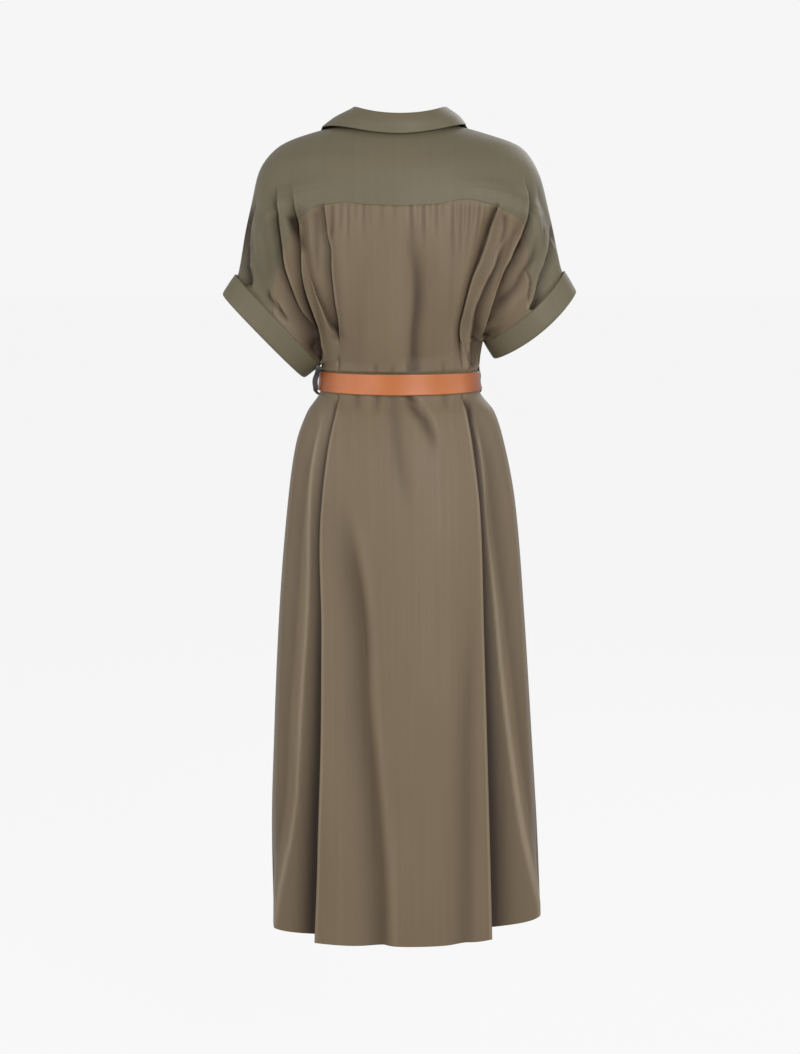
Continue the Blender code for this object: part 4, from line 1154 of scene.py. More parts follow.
@dataclass(frozen=True)
class CrepeFinish:
    """Soft crepe with a slight sheen: colour, the colours of its painted shade and painted highlight, and the
    size of its grain.
    """

    name: str
    colour: Colour
    deep: Colour
    light: Colour
    roughness: float = 0.5
    sheen: float = 0.0
    grain: float = 1100.0
    streaks: float = 170.0

    def build(self) -> bpy.types.Material:
        """Make the material.

        Returns:
            The material.
        """
        f = Finish(self.name)
        cloud = f.noise(f.cloth(7.0, 4.0), 3.0)
        streak = f.noise(f.cloth(self.streaks, 3.2), 3.0, 0.6)
        pebble = f.noise(f.cloth(self.grain, self.grain), 2.0, 0.7)
        thread = f.noise(f.cloth(self.grain * 0.55, self.grain * 0.12), 2.0, 0.6)
        # The crease attribute paints shade into the colour in creases, pleats and by the side seams, and
        # below 0 paints highlight on lips and crest lines.
        crease = f.node("ShaderNodeAttribute", {"attribute_name": "crease"}, {}, "Fac")
        uneven = (cloud - 0.5) * 0.3 + (streak - 0.5) * 0.3 + (thread - 0.5) * 0.14
        lit = f.mix((crease * -1.0 - uneven * 0.5).clamped(0.0, 0.35), self.colour, self.light)
        f.set(Base_Color=f.mix((crease + uneven * 0.6).clamped(0.0, 1.0), lit, self.deep))
        f.set(Roughness=self.roughness + (pebble - 0.5) * 0.16 + (streak - 0.5) * 0.1)
        f.set(Sheen_Weight=self.sheen, Sheen_Roughness=0.45, Specular_IOR_Level=0.12)
        fine = f.bump(pebble, 0.00012, 0.55)
        f.set(Normal=f.bump(thread, 0.0001, 0.5, fine))
        return f.material


@dataclass(frozen=True)
class LeatherFinish:
    """Smooth belt leather with a fine grain, and shade painted towards its ends and in its holes."""

    name: str
    colour: Colour
    deep: Colour
    roughness: float = 0.38

    def build(self) -> bpy.types.Material:
        """Make the material.

        Returns:
            The material.
        """
        f = Finish(self.name)
        cloud = f.noise(f.place(28.0), 3.0)
        pores = f.node("ShaderNodeTexVoronoi", {}, {"Vector": f.place(1500.0), "Scale": 1.0})
        crease = f.node("ShaderNodeAttribute", {"attribute_name": "crease"}, {}, "Fac")
        # Painted shade: darker towards the strap's ends, where it turns away from the light, and in its holes
        # through the crease attribute.
        side = f.node("ShaderNodeSeparateXYZ", {}, {"Vector": f.place(1.0)}, "X")
        ends = (side * side).clamped(0.008, 0.014)
        share = ((cloud - 0.5) * 0.45 + (pores - 0.5) * 0.12 + crease + ends * 0.9).clamped(-0.3, 1.0)
        f.set(Base_Color=f.mix(share, self.colour, self.deep))
        f.set(Roughness=self.roughness + (cloud - 0.5) * 0.2)
        f.set(Specular_IOR_Level=0.3, Coat_Weight=0.05, Coat_Roughness=0.35)
        f.set(Normal=f.bump(pores, 0.00006, 0.6))
        return f.material


@dataclass(frozen=True)
class PlainFinish:
    """A plain hard or woven finish with slight unevenness."""

    name: str
    colour: Colour
    deep: Colour
    roughness: float
    metallic: float = 0.0
    scale: float = 300.0
    relief: float = 0.00004

    def build(self) -> bpy.types.Material:
        """Make the material.

        Returns:
            The material.
        """
        f = Finish(self.name)
        cloud = f.noise(f.place(self.scale), 3.0, 0.6)
        f.set(Base_Color=f.mix(cloud, self.colour, self.deep))
        f.set(Roughness=self.roughness + (cloud - 0.5) * 0.12, Metallic=self.metallic)
        f.set(Normal=f.bump(cloud, self.relief, 0.5))
        return f.material


BODY_CREPE = CrepeFinish("body_crepe_finish", colour=(0.081, 0.06, 0.037), deep=(0.02, 0.012, 0.008),
                         light=(0.124, 0.098, 0.066))
# The same crepe as the body, painted darker and greener for the yoke, collar and cuffs: painted sheen and
# shade.
SHADED_TRIM_CREPE = CrepeFinish("shaded_trim_crepe_finish", colour=(0.067, 0.057, 0.036), deep=(0.018, 0.013, 0.008),
                         light=(0.093, 0.078, 0.05))
BELT_LEATHER = LeatherFinish("belt_leather_finish", colour=(0.247, 0.066, 0.009), deep=(0.1, 0.024, 0.006))
# The loops' near-black is partly the ribbon's own dark colour and partly painted shade.
LOOP_RIBBON = PlainFinish("loop_ribbon_finish", colour=(0.03, 0.031, 0.033), deep=(0.018, 0.018, 0.019),
                          roughness=0.62, scale=900.0)
BUCKLE_BRASS = PlainFinish("buckle_brass_finish", colour=(0.68, 0.54, 0.32), deep=(0.5, 0.38, 0.2),
                           roughness=0.28, metallic=1.0, scale=160.0)
BUTTON_HORN = PlainFinish("button_horn_finish", colour=(0.075, 0.055, 0.04), deep=(0.03, 0.022, 0.017),
                          roughness=0.3, scale=220.0)


# ---------- pieces of cloth
class Half(Enum):
    """Which half of the dress a panel belongs to."""

    BACK = "back"
    FRONT = "front"


@dataclass
class Panel:
    """A panel of cloth between its seams."""

    name: str
    half: Half
    columns: Array
    rows: Array
    creases: tuple[Crease, ...]
    form: WornForm
    wall: float = CLOTH
    lift: Callable[[Spots, Array], Array] | None = None
    held: str = "hung"
    rests_on: tuple[str, ...] = ("yoke_cloth",)

    def spots(self) -> Spots:
        """Places of the panel's grid, past the centre front where it laps, dipped at the yoke's seam.

        Returns:
            Rows by columns of places.
        """
        around, drop = self.columns[None, :], self.rows[:, None]
        past = np.maximum(np.abs(around) - 2.0, 0.0) * OVERLAP / (2.7 * table(FRONT_ROWS, "lead", drop))
        around = np.sign(around + 1e-12) * np.minimum(np.abs(around), 2.0) + np.sign(around) * past
        if self.half is Half.BACK:
            drop = dipped(around, drop)
        return Spots(around, drop, np.full((len(self.rows), len(self.columns)), self.half is Half.BACK))

    def surface(self) -> tuple[Array, Array]:
        """The outer surface and the shade painted into each point's colour, below 0 a painted highlight.

        Returns:
            Points and painted shade.
        """
        at = self.spots()
        base = self.form.plain(at)
        out = self.form.out(self.form.plain, at)
        sink, shift = self.form.large_folds(at, base)
        calm = self.calm(at)
        deep, aside, shade = (np.zeros_like(sink) for _ in range(3))
        for crease in self.creases:
            parts = crease.at(base[..., 0] + shift, base[..., 2])
            deep, aside, shade = deep + parts[0], aside + parts[1], shade + parts[2]
        point = base - out * (sink + np.minimum(deep, CREASE_LIMIT) * calm)[..., None]
        point[..., 0] += shift + np.clip(aside, -ASIDE_LIMIT, ASIDE_LIMIT) * calm
        if self.lift is not None:
            point = point + grid_normals(point) * self.lift(at, base)[..., None]
        shade = shade * np.clip(self.calm(at, 0.004) * 3.0, 0.0, 1.0)
        return point, shade + self.seam_shade(at, point)

    def seam_shade(self, at: Spots, point: Array) -> Array:
        """Shade painted beside the side seams, in the pleats and along their stitched tops.

        Args:
            at: Places on the cloth.
            point: Points of the outer surface.

        Returns:
            Painted shade, below 0 a painted highlight on the edge beside each pleat.
        """
        around, drop = at.around, at.drop
        near = 1.0 - np.abs(np.abs(around) - 1.0)
        shade = SEAM_SHADE * ramp((near - 0.94) / 0.06) * ramp((drop - 0.38) / 0.02)
        if self.half is Half.FRONT:
            return shade
        opened = ramp((drop - PLEAT_TOP + 0.002) / 0.012)
        stitches = STITCH_SHADE * ramp((drop - 0.303) / 0.01) * self.calm(at)
        for pleat in PLEATS:
            reach = around * pleat.side - PLEAT_LINE
            stitched = stitches * np.exp(-(((reach - 0.004) / 0.008) ** 2))
            edge = point[:, int(np.argmin(np.abs(reach[0]))), 0][:, None] * pleat.side
            wide = pleat.dark + (PLEAT_SHADOW - pleat.dark) * ramp((drop - 0.52) / 0.6)
            fall = np.exp(-((np.maximum(point[..., 0] * pleat.side - edge, 0.0) / wide) ** 1.5))
            # Painted shadow in the pleat's recess, fading from the centre panel's edge, and a painted
            # highlight on that edge.
            recess = np.where(reach > 0.0, PLEAT_SHADE * ramp(reach / 0.016) * fall, 0.0)
            recess = recess - PLEAT_LIGHT * np.exp(-(((reach + 0.01) / 0.007) ** 2))
            shade = shade + stitched * (1.0 - opened) + recess * opened
        return shade

    @staticmethod
    def calm(at: Spots, side: float = 0.025) -> Array:
        """Where creases may show: not under the belt, nor at the side line.

        Args:
            at: Places on the cloth.
            side: How far off the side line they fade.

        Returns:
            Share from 0 to 1.
        """
        free = 1.0 - BELTED_CREASES.at(at.drop)
        return free * ramp(np.abs(np.abs(at.around) - 1.0) / side) * ramp((at.drop - 0.03) / 0.02)

    def build(self, material: bpy.types.Material, slot: Slot, *nodes: str) -> bpy.types.Object:
        """Make the panel.

        Args:
            material: Its finish.
            slot: The record's material slot.
            *nodes: The solids that it stands for.

        Returns:
            The piece.
        """
        outer, shade = self.surface()
        across, down = lengths(outer, 1), lengths(outer, 0)
        middle = across[:, [int(np.argmin(np.abs(self.columns)))]] if self.half is Half.BACK else 0.0
        normal = grid_normals(outer)
        half = rounded(self.wall, down, down[-1:] - down, across, across[:, -1:] - across)
        centre = outer - normal * (self.wall / 2.0)
        uv = np.stack([across - middle, down + self.rows[0]], axis=-1)
        wall = normal * half[..., None]
        piece = sheet_mesh(self.name, centre + wall, centre - wall, uv, shade)
        declare(piece, outer, self.held, *self.rests_on)
        return finish_piece(piece, material, slot, *nodes)


# ---------- creases of the back
# Each line runs down the edge that hides a crease's bottom, as (sideways, height) seen straight on. A tuck
# above 0 draws the cloth under its left side, one below 0 under its right side.
# The last value of each crease is the shade painted along it; below 0 it is a painted highlight.
SLEEVE_CREASES = (
    # left sleeve, from the body outwards
    Crease(((0.1081, -0.1102), (0.1065, -0.1304), (0.1051, -0.1539), (0.1007, -0.171), (0.1006, -0.1987),
           (0.0988, -0.2225), (0.0953, -0.2557), (0.0925, -0.2726), (0.0908, -0.2877), (0.0889, -0.307)),
           0.0042, 0.009, 0.0026, -0.0034, 0.35, 0.06, 0.06, 0.22, 0.75),
    Crease(((0.0959, -0.1093), (0.0958, -0.1263), (0.1004, -0.1632)), 0.0018, 0.003, 0.0036, 0.0, 0.4,
           0.1, 0.3, 0.1, 0.45),
    Crease(((0.1201, -0.1182), (0.1196, -0.1518), (0.1188, -0.1843), (0.118, -0.215)), 0.0026, 0.005,
           0.005, 0.0, 0.6, 0.12, 0.5, 0.1, 0.4),
    Crease(((0.1351, -0.2086), (0.1274, -0.2259), (0.1211, -0.2429), (0.1146, -0.2564), (0.1091, -0.2715),
           (0.1018, -0.2899), (0.092, -0.3035)), 0.0052, 0.0024, 0.0105, 0.0036, 0.35, 0.3, 0.1, 0.25,
           0.72),
    Crease(((0.1556, -0.0724), (0.1544, -0.0953), (0.151, -0.1122), (0.1477, -0.1332), (0.147, -0.1534),
           (0.1458, -0.1731), (0.1444, -0.209), (0.1411, -0.2378), (0.1324, -0.2679), (0.124, -0.2958),
           (0.1199, -0.3106), (0.1154, -0.3273)), 0.0078, 0.0085, 0.0028, -0.0055, 0.35, 0.34, 0.08, 0.22,
           1.0),
    Crease(((0.1607, -0.1236), (0.1554, -0.1449), (0.1489, -0.1631), (0.1455, -0.1832)), 0.0044, 0.005,
           0.0085, 0.0016, 0.6, 0.2, 0.3, 0.1, 0.85),
    Crease(((0.178, -0.085), (0.1742, -0.1168), (0.1734, -0.1454), (0.1711, -0.1685), (0.1694, -0.1945),
           (0.1602, -0.2264), (0.1483, -0.262), (0.1346, -0.2908), (0.1221, -0.3265)), 0.007, 0.012,
           0.0028, -0.0048, 0.35, 0.14, 0.06, 0.24, 0.85),
    Crease(((0.1974, -0.1098), (0.1944, -0.1522), (0.1891, -0.1909), (0.1871, -0.2309)), 0.0022, 0.01,
           0.008, 0.0, 0.8, 0.3, 0.25, 0.0, 0.3),
    Crease(((0.1885, -0.233), (0.1877, -0.2424), (0.1767, -0.2533), (0.1705, -0.264), (0.16, -0.279)),
           0.006, 0.004, 0.003, -0.002, 0.4, 0.2, 0.3, 0.2, 0.85),
    Crease(((0.2085, -0.1038), (0.2115, -0.1273), (0.2155, -0.149), (0.2172, -0.1744), (0.2175, -0.1957),
           (0.213, -0.2234)), 0.008, 0.012, 0.0026, -0.004, 0.6, 0.3, 0.02, 0.25, 1.45),
    Crease(((0.1444, -0.205), (0.1411, -0.2378), (0.1324, -0.2679), (0.124, -0.2958), (0.118, -0.318),
           (0.115, -0.333)), 0.0036, 0.013, 0.003, -0.003, 0.4, 0.55, 0.03, 0.0, 0.9),
    # right sleeve, from the body outwards
    Crease(((-0.1397, -0.1108), (-0.1307, -0.1444), (-0.1179, -0.1872), (-0.1069, -0.217),
           (-0.1026, -0.2343), (-0.096, -0.2704), (-0.0927, -0.2878), (-0.0917, -0.3105),
           (-0.0912, -0.33)), 0.0066, 0.008, 0.0026, -0.0042, 0.35, 0.06, 0.16, 0.25, 1.0),
    Crease(((-0.1489, -0.1239), (-0.1496, -0.1377), (-0.1478, -0.1517), (-0.14, -0.175)), 0.0024, 0.0036,
           0.0046, 0.0, 0.5, 0.12, 0.4, 0.1, 0.6),
    Crease(((-0.154, -0.156), (-0.1437, -0.1806), (-0.1382, -0.1986), (-0.1298, -0.2186),
           (-0.123, -0.2387), (-0.1163, -0.2588), (-0.1123, -0.2795), (-0.11, -0.3009),
           (-0.1067, -0.3228), (-0.104, -0.342)), 0.0062, 0.004, 0.0085, 0.0022, 0.5, 0.24, 0.04, 0.22,
           0.8),
    Crease(((-0.1768, -0.159), (-0.1684, -0.1763), (-0.163, -0.1905), (-0.1545, -0.2062),
           (-0.1481, -0.2218), (-0.1427, -0.2364), (-0.137, -0.2536), (-0.1324, -0.271),
           (-0.1271, -0.289), (-0.1221, -0.3007)), 0.0058, 0.0026, 0.009, 0.003, 0.4, 0.12, 0.03, 0.25,
           0.85),
    Crease(((-0.1779, -0.0682), (-0.1843, -0.089), (-0.1851, -0.1098), (-0.1833, -0.1267),
           (-0.1793, -0.1466), (-0.1721, -0.1708), (-0.1665, -0.185)), 0.0066, 0.003, 0.007, 0.0034, 0.4,
           0.4, 0.3, 0.28, 0.95),
    Crease(((-0.1941, -0.155), (-0.1877, -0.1907), (-0.1759, -0.2092), (-0.165, -0.2305),
           (-0.1508, -0.248), (-0.1395, -0.2711)), 0.0042, 0.006, 0.007, 0.0, 0.5, 0.35, 0.25, 0.15, 0.6),
    Crease(((-0.1963, -0.0739), (-0.2028, -0.1028), (-0.2086, -0.1273), (-0.2084, -0.152),
           (-0.206, -0.1737)), 0.003, 0.005, 0.007, 0.0, 0.6, 0.3, 0.3, 0.1, 0.45),
    Crease(((-0.18, -0.2), (-0.1872, -0.2192), (-0.1852, -0.2381), (-0.1854, -0.2541)), 0.002, 0.0024,
           0.0024, 0.0, 0.4, 0.25, 0.25, 0.2, 0.45),
    Crease(((-0.2188, -0.1298), (-0.2189, -0.153), (-0.2141, -0.1764), (-0.2071, -0.1989),
           (-0.1997, -0.2194), (-0.1939, -0.2453), (-0.1886, -0.257)), 0.007, 0.0036, 0.007, 0.003, 0.5,
           0.3, 0.03, 0.3, 1.3),
)
BODICE_CREASES = SLEEVE_CREASES + (
    Crease(((-0.0167, -0.1165), (-0.0163, -0.1698), (-0.0219, -0.1988), (-0.0238, -0.253),
           (-0.0205, -0.2893), (-0.0186, -0.346)), 0.0038, 0.0075, 0.016, 0.0, 0.7, 0.6, 0.02, 0.0, 0.75),
    Crease(((-0.045, -0.15), (-0.052, -0.235), (-0.046, -0.346)), 0.001, 0.012, 0.014, 0.0, 0.8, 0.4,
           0.02, 0.0, 0.1),
    Crease(((0.046, -0.16), (0.056, -0.24), (0.06, -0.346)), 0.0008, 0.014, 0.014, 0.0, 0.8, 0.4, 0.02,
           0.0, 0.1),
    Crease(((-0.07, -0.125), (-0.074, -0.19), (-0.07, -0.3)), 0.001, 0.01, 0.01, 0.0, 0.7, 0.3, 0.4, 0.0,
           0.12),
) + tuple(
    Crease(((top, height), (low, -0.348)), 0.0012, 0.0034, 0.0034, 0.0, 0.5, 0.8, 0.02, 0.1, 0.38)
    for top, height, low in ((0.0345, -0.33, 0.0337), (0.0103, -0.332, 0.0103), (-0.012, -0.32, -0.0125),
                             (-0.06, -0.328, -0.062))
) + (
    Crease(((-0.101, -0.318), (-0.1, -0.346)), 0.003, 0.003, 0.004, 0.0, 0.5, 0.5, 0.02, 0.3),
)


@dataclass(frozen=True)
class Gather:
    """A little gather that hangs from the yoke seam."""

    side: float
    length: float
    depth: float
    width: float
    lean: float = 0.0

    def crease(self) -> Crease:
        """The gather as a crease.

        Returns:
            The crease.
        """
        top = -YOKE_SEAM + 0.004
        line = ((self.side, top), (self.side + self.lean * 0.4, top - self.length * 0.5),
                (self.side + self.lean, top - self.length))
        # The last value is the gather's painted shade, darker the deeper it is.
        return Crease(line, self.depth, self.width, self.width, 0.0, 0.45, 0.1, 0.75, 0.25,
                      min(0.85, self.depth * 260.0))


GATHERS = tuple(Gather(*sizes) for sizes in (
    (0.083, 0.05, 0.001, 0.0036, 0.002), (0.0735, 0.075, 0.0011, 0.003),
    (0.062, 0.03, 0.0007, 0.003), (0.0515, 0.055, 0.0012, 0.0036),
    (0.043, 0.04, 0.0006, 0.0032), (0.026, 0.045, 0.0009, 0.0035),
    (0.008, 0.03, 0.0006, 0.0032), (-0.0157, 0.07, 0.0021, 0.0028, -0.002),
    (-0.025, 0.03, 0.0006, 0.0026), (-0.0329, 0.072, 0.002, 0.0028, -0.001),
    (-0.042, 0.03, 0.0006, 0.0026), (-0.0515, 0.06, 0.0013, 0.0028),
    (-0.0595, 0.035, 0.0008, 0.0024), (-0.0744, 0.095, 0.0013, 0.0026),
    (-0.0808, 0.055, 0.0008, 0.0022), (-0.0862, 0.1, 0.0011, 0.0024, 0.002),
    (-0.0925, 0.06, 0.0008, 0.0022, 0.002), (-0.0985, 0.085, 0.0012, 0.0024, 0.004),
    (-0.106, 0.05, 0.0009, 0.0024, 0.005), (-0.113, 0.075, 0.0014, 0.0026, 0.008),
    (-0.1215, 0.045, 0.001, 0.0026, 0.006), (-0.129, 0.03, 0.0008, 0.0024, 0.004),
))

SKIRT_CREASES = (
    Crease(((0.084, -0.53), (0.071, -0.594), (0.0616, -0.6486), (0.055, -0.712), (0.0519, -0.8135),
           (0.0422, -0.913), (0.034, -1.0), (0.0284, -1.072), (0.025, -1.185)), 0.0058, 0.03, 0.01,
           -0.002, 0.6, 0.22, 0.0, 0.2, 0.55),
    Crease(((-0.1027, -0.64), (-0.1, -0.815), (-0.0979, -1.088), (-0.0975, -1.185)), 0.003, 0.018, 0.014,
           0.0, 0.8, 0.4, 0.0, 0.0, 0.35),
    Crease(((-0.011, -0.378), (-0.02, -0.393), (-0.037, -0.415), (-0.047, -0.44), (-0.052, -0.475)),
           0.0046, 0.009, 0.006, -0.001, 0.6, 0.08, 0.75, 0.12, 0.62),
    Crease(((0.0104, -0.378), (0.0039, -0.457), (-0.0058, -0.517), (-0.0186, -0.57)), 0.0022, 0.014,
           0.012, 0.0, 0.8, 0.08, 0.6, 0.0, 0.32),
    Crease(((0.032, -0.379), (0.035, -0.412)), 0.002, 0.006, 0.006, 0.0, 0.8, 0.05, 0.9, 0.1, 0.4),
    Crease(((0.062, -0.379), (0.06, -0.408)), 0.0016, 0.006, 0.006, 0.0, 0.8, 0.05, 0.9, 0.1, 0.34),
    Crease(((-0.064, -0.379), (-0.0655, -0.405)), 0.0014, 0.005, 0.005, 0.0, 0.8, 0.05, 0.9, 0.1, 0.3),
    Crease(((-0.101, -0.392), (-0.108, -0.43), (-0.125, -0.49)), 0.0024, 0.004, 0.004, 0.0, 0.5, 0.2, 0.6,
           0.2),
    # pressed lines that stand up along the side panels, each painted lighter as a highlight, with painted
    # shade beside it
    Crease(((0.115, -0.415), (0.1332, -0.496), (0.138, -0.549), (0.143, -0.672), (0.1537, -0.838),
           (0.1632, -1.0), (0.1815, -1.137), (0.186, -1.185)), -0.0026, 0.0075, 0.0035, 0.0, 0.2, 0.1,
           0.0, 0.0, -0.36),
    Crease(((0.123, -0.415), (0.142, -0.496), (0.15, -0.56), (0.16, -0.7), (0.17, -0.838), (0.179, -1.0),
           (0.196, -1.137), (0.2, -1.185)), 0.003, 0.013, 0.006, 0.0, 0.5, 0.15, 0.0, 0.0, 0.3),
    Crease(((-0.104, -0.405), (-0.1218, -0.47), (-0.1348, -0.573), (-0.1448, -0.655), (-0.1586, -0.802),
           (-0.1706, -0.911), (-0.1838, -1.018), (-0.207, -1.15)), -0.0028, 0.0035, 0.008, 0.0, 0.2, 0.1,
           0.0, 0.0, -0.6),
    Crease(((-0.113, -0.405), (-0.132, -0.47), (-0.147, -0.573), (-0.16, -0.68), (-0.174, -0.802),
           (-0.185, -0.911), (-0.198, -1.018), (-0.216, -1.15)), 0.003, 0.006, 0.013, 0.0, 0.5, 0.15, 0.0,
           0.0, 0.3),
)

FRONT_CREASES = (
    Crease(((0.125, -0.19), (0.105, -0.25), (0.08, -0.33)), 0.004, 0.008, 0.003, -0.002, 0.4, 0.3, 0.15,
           0.2),
    Crease(((-0.128, -0.185), (-0.106, -0.25), (-0.082, -0.332)), 0.004, 0.003, 0.008, 0.002, 0.4, 0.3,
           0.15, 0.2),
    Crease(((0.15, -0.15), (0.135, -0.23), (0.106, -0.335)), 0.0046, 0.009, 0.004, -0.002, 0.4, 0.2, 0.15,
           0.2),
    Crease(((-0.152, -0.15), (-0.134, -0.24), (-0.104, -0.32)), 0.0046, 0.004, 0.009, 0.002, 0.4, 0.2,
           0.15, 0.2),
    Crease(((0.185, -0.12), (0.172, -0.2), (0.15, -0.262)), 0.0038, 0.01, 0.004, -0.002, 0.4, 0.3, 0.15,
           0.2),
    Crease(((-0.188, -0.115), (-0.176, -0.195), (-0.152, -0.252)), 0.0038, 0.004, 0.01, 0.002, 0.4, 0.3,
           0.15, 0.2),
    Crease(((0.046, -0.25), (0.05, -0.346)), 0.002, 0.007, 0.007, 0.0, 0.5, 0.4, 0.02),
    Crease(((-0.048, -0.255), (-0.052, -0.346)), 0.002, 0.007, 0.007, 0.0, 0.5, 0.4, 0.02),
    Crease(((0.036, -0.388), (0.046, -0.52), (0.05, -1.18)), 0.003, 0.01, 0.014, 0.0, 0.5, 0.2, 0.0),
    Crease(((-0.036, -0.388), (-0.046, -0.52), (-0.052, -1.18)), 0.003, 0.014, 0.01, 0.0, 0.5, 0.2, 0.0),
)


def dipped(around: Array, drop: Array) -> Array:
    """Rows of the back, bent down or up near the yoke's lower seam.

    Args:
        around: Cloth coordinate round the body.
        drop: Cloth coordinate down the body.

    Returns:
        The drop at which each point lies.
    """
    above = ramp((drop - SLEEVE_TOP) / (YOKE_SEAM - SLEEVE_TOP))
    below = ramp((SEAM_DIP_END - drop) / (SEAM_DIP_END - YOKE_SEAM))
    return drop + table(SEAM_DIPS, "dip", around) * above * below


def back_columns() -> Array:
    """Lines of the back panel, finest where the cloth is creased.

    Returns:
        Cloth coordinates from the right seam to the left.
    """
    half = spread(0.0, (0.4, 29), (0.487, 12), (0.5, 5), (0.54, 12), (0.6, 9), (0.92, 52),
                  (0.985, 8), (0.9975, 2), (0.999, 1), (1.0, 1))
    return np.concatenate([-half[:0:-1], half])


def body_rows() -> Array:
    """Lines of the body from under the yoke seam to the hem.

    Returns:
        Cloth coordinates downwards.
    """
    start = YOKE_SEAM - 0.004
    return spread(start, (start + 0.0003, 1), (start + 0.0008, 1), (YOKE_SEAM, 2), (YOKE_SEAM + 0.006, 4),
                  (0.2, 34), (0.343, 38), (0.3505, 7), (0.3805, 4), (0.3875, 6), (0.56, 32),
                  (HEM - 0.012, 50), (HEM - 0.0012, 4), (HEM - 0.0005, 1), (HEM, 2))


def yoke_rows() -> Array:
    """Lines of the yoke from the neck seam to its lower seam.

    Returns:
        Cloth coordinates downwards.
    """
    return spread(NECK_SEAM, (NECK_SEAM + 0.0006, 2), (0.046, 16), (0.074, 14), (0.0785, 4), (0.081, 4),
                  (0.1, 12), (YOKE_SEAM - 0.0012, 8), (YOKE_SEAM - 0.0004, 2), (YOKE_SEAM, 2))


def body_lift(at: Spots, base: Array) -> Array:
    """How far the back's top edge lies in, under the yoke.

    Args:
        at: Places on the cloth.
        base: Points on the plain form.

    Returns:
        Metres outward.
    """
    return -TOP_UNDER * ramp((YOKE_SEAM + 0.0035 - at.drop) / 0.0035) * np.ones_like(at.around)


def yoke_lift(at: Spots, base: Array) -> Array:
    """How far the yoke stands up at its turned-under lower edge, which the gathers pucker a little.

    Args:
        at: Places on the cloth.
        base: Points on the plain form.

    Returns:
        Metres outward.
    """
    edge = ramp((at.drop - YOKE_SEAM + 0.004) / 0.004)
    pucker = np.sin(base[..., 0] * 640.0 + 1.7 * np.sin(base[..., 0] * 151.0)) * 0.00018
    return edge * (0.0003 + pucker * ramp((0.85 - np.abs(at.around)) / 0.15))


@dataclass
class Front:
    """A front panel with its button band."""

    side: float
    form: WornForm

    def columns(self) -> Array:
        """Lines from the centre to the side, in rising order.

        Returns:
            Cloth coordinates.
        """
        half = spread(1.0, (1.0012, 1), (1.003, 1), (1.05, 6), (1.6, 34), (1.885, 18), (1.9, 4), (2.0, 6),
                      (2.93, 5), (2.98, 2), (3.0, 2))
        return half if self.side == LEFT else -half[::-1]

    def rows(self) -> Array:
        """Lines from the neck to the hem.

        Returns:
            Cloth coordinates downwards.
        """
        upper = spread(NECK_SEAM, (NECK_SEAM + 0.0006, 2), (0.046, 10), (0.074, 8), (0.081, 6),
                       (YOKE_SEAM, 10))
        lower = spread(YOKE_SEAM, (0.2, 22), (0.33, 32), (0.4, 20), (0.56, 26), (HEM - 0.012, 46),
                       (HEM - 0.0012, 3), (HEM - 0.0005, 1), (HEM, 2))
        return np.concatenate([upper, lower[1:]])

    def lift(self, at: Spots, base: Array) -> Array:
        """The lap of the right front over the left, and the button band's raised edge.

        Args:
            at: Places on the cloth.
            base: Points on the plain form.

        Returns:
            Metres outward.
        """
        reach = 2.0 - np.abs(at.around)
        band = 0.0005 * ramp((0.112 - reach) / 0.008)
        if self.side == LEFT:
            return band * ramp(reach / 0.02)
        return PLACKET_LIFT * ramp((base[..., 0] + 0.046) / 0.018) + band

    def build(self, material: bpy.types.Material) -> bpy.types.Object:
        """Make the front.

        Args:
            material: Its finish.

        Returns:
            The piece.
        """
        name = SIDE_NAMES[self.side]
        panel = Panel(f"front_{name}_cloth", Half.FRONT, self.columns(), self.rows(), FRONT_CREASES,
                      self.form, lift=self.lift)
        return panel.build(material, Slot.BODY, f"front_{name}")


